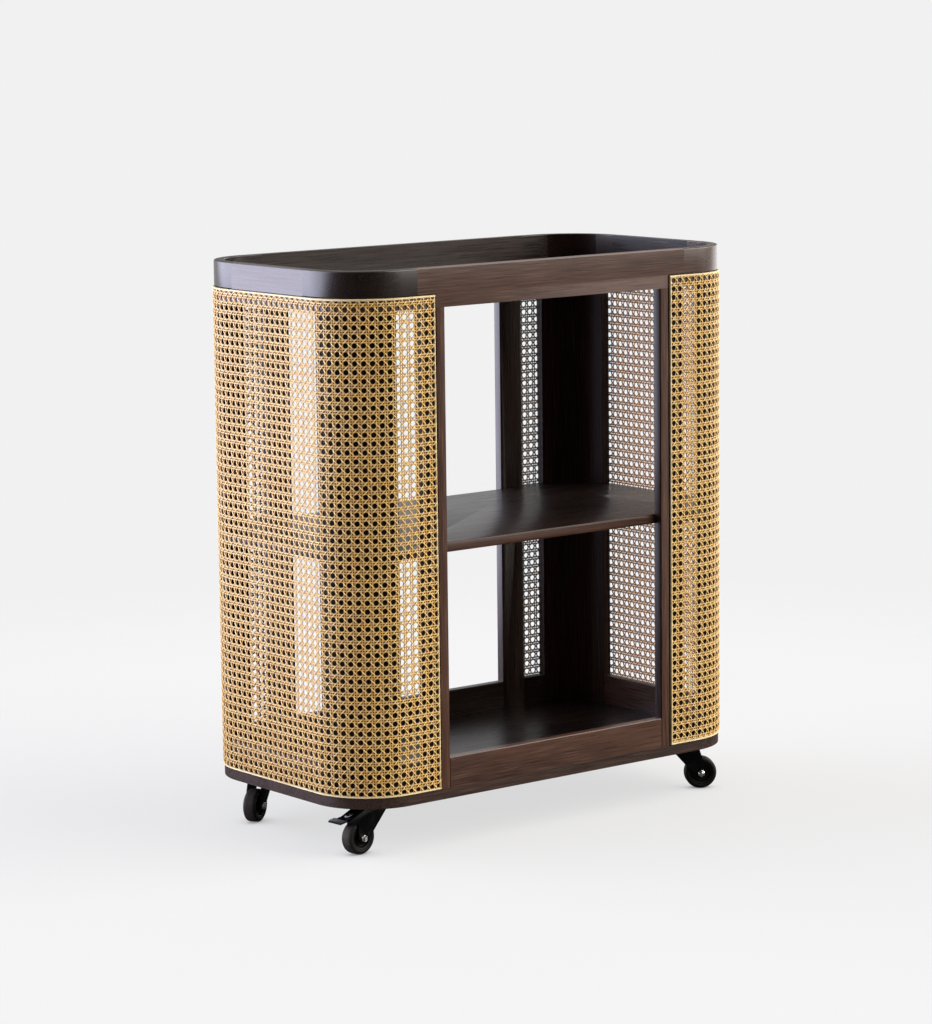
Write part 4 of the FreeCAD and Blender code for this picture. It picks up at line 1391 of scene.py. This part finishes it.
    def build(self) -> None:
        """Model each part once, copy it to the four casters and dress it."""
        black, enamel = BlackSteel().make(), BlackSteel(sheen=0.14, rough=0.16).make()
        zinc, rubber = Zinc().make(), Rubber().make()
        dull = Zinc("dull_zinc", bright=(0.34, 0.35, 0.38), dull=(0.20, 0.205, 0.22)).make()
        tyre, hub, axle, insert, tab = self.tyre(), self.hub(), self.axle(), self.insert(), self.tab()
        for stance in self.stances:
            corner = stance.corner
            roller, caster, pedal = (stance.body(kind) for kind in (Body.ROLLER, Body.CASTER, Body.PEDAL))
            for part, name, material, slot, body, *nodes in (
                    (tyre, "tyre", rubber, Slot.RUBBER, roller, f"wheel_{corner}"),
                    (hub, "hub", rubber, Slot.RUBBER, roller),
                    (axle, "axle_bolt", zinc, Slot.ZINC, caster, f"axle_{corner}"),
                    (insert, "nut_insert", rubber, Slot.RUBBER, caster)):
                dress(copy_of(part, f"{name}_{corner}", stance.place), material, slot, body, *nodes)
            fork = eased_copy(f"fork_{corner}", f"fork_{corner}_pressed", self.fork_ease)
            dress(fork, black, Slot.BLACK, caster, f"fork_{corner}")
            if stance.braked:
                lever = eased_copy(f"brake_pedal_{corner}", f"pedal_{corner}_pressed", self.pedal_ease)
                dress(lever, enamel, Slot.BLACK, pedal, f"brake_pedal_{corner}")
                dress(copy_of(tab, f"pedal_tab_{corner}", stance.place), dull, Slot.ZINC, pedal)
        discard(tyre, hub, axle, insert, tab)
        plates = eased_copy("caster_plates", "caster_plates_pressed", self.plate_ease)
        dress(plates, black, Slot.BLACK, Body.CART.value, "caster_plates")
        dress(self.screws(), zinc, Slot.ZINC, Body.CART.value)


@dataclass(frozen=True)
class SoftBox:
    """A soft light in the distance: where it is, how wide it spreads, its level and tint."""

    heading: Point
    fade_from: float
    full_from: float
    level: float
    tint: Colour = (1.0, 1.0, 1.0)


@dataclass
class Studio:
    """Pale floor, soft studio light and the camera."""

    floor_radius: float = 2.3
    floor_sides: int = 96
    fade_start: float = 1.2
    fade_end: float = 0.98
    floor_colour: Colour = (0.39, 0.39, 0.39)
    bounce_colour: Colour = (0.30, 0.295, 0.285)
    mirror_colour: Colour = (0.08, 0.078, 0.075)
    floor_evenness: float = 0.66
    contact_reach: float = 0.045
    contact_shade: float = 0.35
    contact_clear: float = 0.9
    contact_samples: int = 8
    backdrop: float = 0.879
    mirrored_share: float = 0.05
    ambient: SoftBox = SoftBox((0.0, 0.0, 1.0), -3.0, -2.0, 0.02)
    boxes: tuple[SoftBox, ...] = (
        SoftBox((0.0, 0.90, 0.43), 0.60, 0.76, 0.64),  # high at the back
        SoftBox((-0.72, 0.69, -0.05), 0.865, 0.945, 2.8, (0.92, 0.94, 1.20)),  # low at the back left
        SoftBox((-0.70, 0.68, 0.25), 0.70, 0.90, 4.8, (0.93, 0.95, 1.20)),  # back left
        SoftBox((1.0, -0.05, 0.1), 0.50, 0.90, 0.60),  # right
        SoftBox((0.92, 0.38, -0.1), 0.86, 0.96, 1.8),  # right, a little behind
        SoftBox((0.62, -0.76, -0.1), 0.60, 0.95, 0.34, (1.06, 1.0, 0.90)),  # low at the front right
        SoftBox((0.62, -0.56, 0.55), 0.76, 0.93, 5.2, (1.04, 1.0, 0.94)),  # high at the front right
        SoftBox((0.0, 0.0, 1.0), 0.45, 0.95, 0.60),  # overhead
    )
    camera_place: Point = (-3.3190, -4.1644, 1.2579)
    yaw: float = 38.442
    pitch: float = -8.609
    roll: float = -0.678
    focal: float = 124.64
    sensor: float = 36.0

    def floor(self) -> None:
        """Lay a round floor with a faint shadow that fades into the backdrop."""
        bpy.ops.mesh.primitive_circle_add(vertices=self.floor_sides, radius=self.floor_radius,
                                          fill_type="NGON")
        item = named(bpy.context.object, "studio_floor")
        shade = Shade("studio_floor")
        rays = shade.node("LightPath").outputs
        seen, mirrored = rays["Is Camera Ray"], rays["Is Glossy Ray"]
        # Ambient occlusion dims the floor's glow near the wheels and base: a painted contact shadow.
        contact = shade.node("AmbientOcclusion", samples=self.contact_samples, Distance=self.contact_reach)
        level = shade.spread(contact.outputs["AO"], 0.0, self.contact_clear, self.contact_shade)
        glow = shade.node("Emission", Strength=level).outputs[0]
        evenness = shade.maths("MULTIPLY", seen, self.floor_evenness)
        even = shade.fed("MixShader", evenness, shade.shader.outputs[0], glow)
        reach = shade.node("VectorMath", operation="LENGTH", Vector=shade.object_place()).outputs["Value"]
        fade = shade.spread(reach, self.fade_start, self.floor_radius * self.fade_end)
        faded = shade.fed("MixShader", fade, even, shade.node("BsdfTransparent").outputs[0])
        shade.feed(shade.tree.nodes["Material Output"].inputs[0], faded)
        unseen = shade.blend(mirrored, self.bounce_colour, self.mirror_colour)
        colour = shade.blend(seen, unseen, self.floor_colour)
        item.data.materials.append(shade.finish(Base_Color=colour, Roughness=1.0, Specular_IOR_Level=0.0))

    def light(self) -> None:
        """Light the object from soft boxes round it; the camera sees the plain backdrop."""
        world = bpy.data.worlds.new("studio")
        bpy.context.scene.world = world
        world.use_nodes = True
        shade = Shade.of_tree(world.node_tree)
        heading = shade.node("TexCoord").outputs["Generated"]
        glow: Socket | None = None
        for box in (self.ambient, *self.boxes):
            dot = shade.node("VectorMath", operation="DOT_PRODUCT")
            shade.feed(dot.inputs[0], heading)
            shade.feed(dot.inputs[1], Vector(box.heading).normalized())
            level = shade.spread(dot.outputs["Value"], box.fade_from, box.full_from, 0.0, box.level)
            lamp = shade.node("Background", Color=(*box.tint, 1.0), Strength=level).outputs[0]
            glow = lamp if glow is None else shade.fed("AddShader", glow, lamp)
        plain = shade.node("Background", Color=(*[self.backdrop] * 3, 1.0), Strength=1.0).outputs[0]
        rays = shade.node("LightPath").outputs
        seen = shade.maths("MAXIMUM", rays["Is Camera Ray"], rays["Is Transmission Ray"])
        mirrored = shade.maths("MULTIPLY", rays["Is Glossy Ray"], self.mirrored_share)
        seen = shade.maths("MAXIMUM", seen, mirrored)
        surface = shade.tree.nodes["World Output"].inputs["Surface"]
        shade.feed(surface, shade.fed("MixShader", seen, glow, plain))

    def camera(self) -> None:
        """Stand the camera where the photograph was taken from."""
        yaw, pitch, roll = (math.radians(angle) for angle in (self.yaw, self.pitch, self.roll))
        ahead = Vector((math.sin(yaw) * math.cos(pitch), math.cos(yaw) * math.cos(pitch), math.sin(pitch)))
        right = ahead.cross(Vector((0, 0, 1))).normalized()
        above = right.cross(ahead)
        right, above = (math.cos(roll) * right + math.sin(roll) * above,
                        math.cos(roll) * above - math.sin(roll) * right)
        data = bpy.data.cameras.new("studio_camera")
        data.lens = self.focal
        data.sensor_width = self.sensor
        item = bpy.data.objects.new("studio_camera", data)
        bpy.context.scene.collection.objects.link(item)
        turn = Matrix((right, above, -ahead)).transposed().to_4x4()
        item.matrix_world = Matrix.Translation(self.camera_place) @ turn
        bpy.context.scene.camera = item

    def build(self) -> None:
        """Set up the floor, the light, the camera and the plain view."""
        self.floor()
        self.light()
        self.camera()
        bpy.context.scene.view_settings.view_transform = "Standard"


def main() -> None:
    """Dress the whole cart and set up the studio."""
    logging.basicConfig(level=logging.INFO, format="%(name)s %(message)s")
    Carcass().build()
    CaneEnd(Side.LEFT, first_hole=2.8 * MM, first_drop=12.4 * MM, seed=11).build()
    CaneEnd(Side.RIGHT, first_hole=5.6 * MM, first_drop=5.3 * MM, seed=23).build()
    for side in Side:
        ReedBeads(side).build()
    Casters().build()
    Studio().build()


if __name__ == "__main__":
    main()
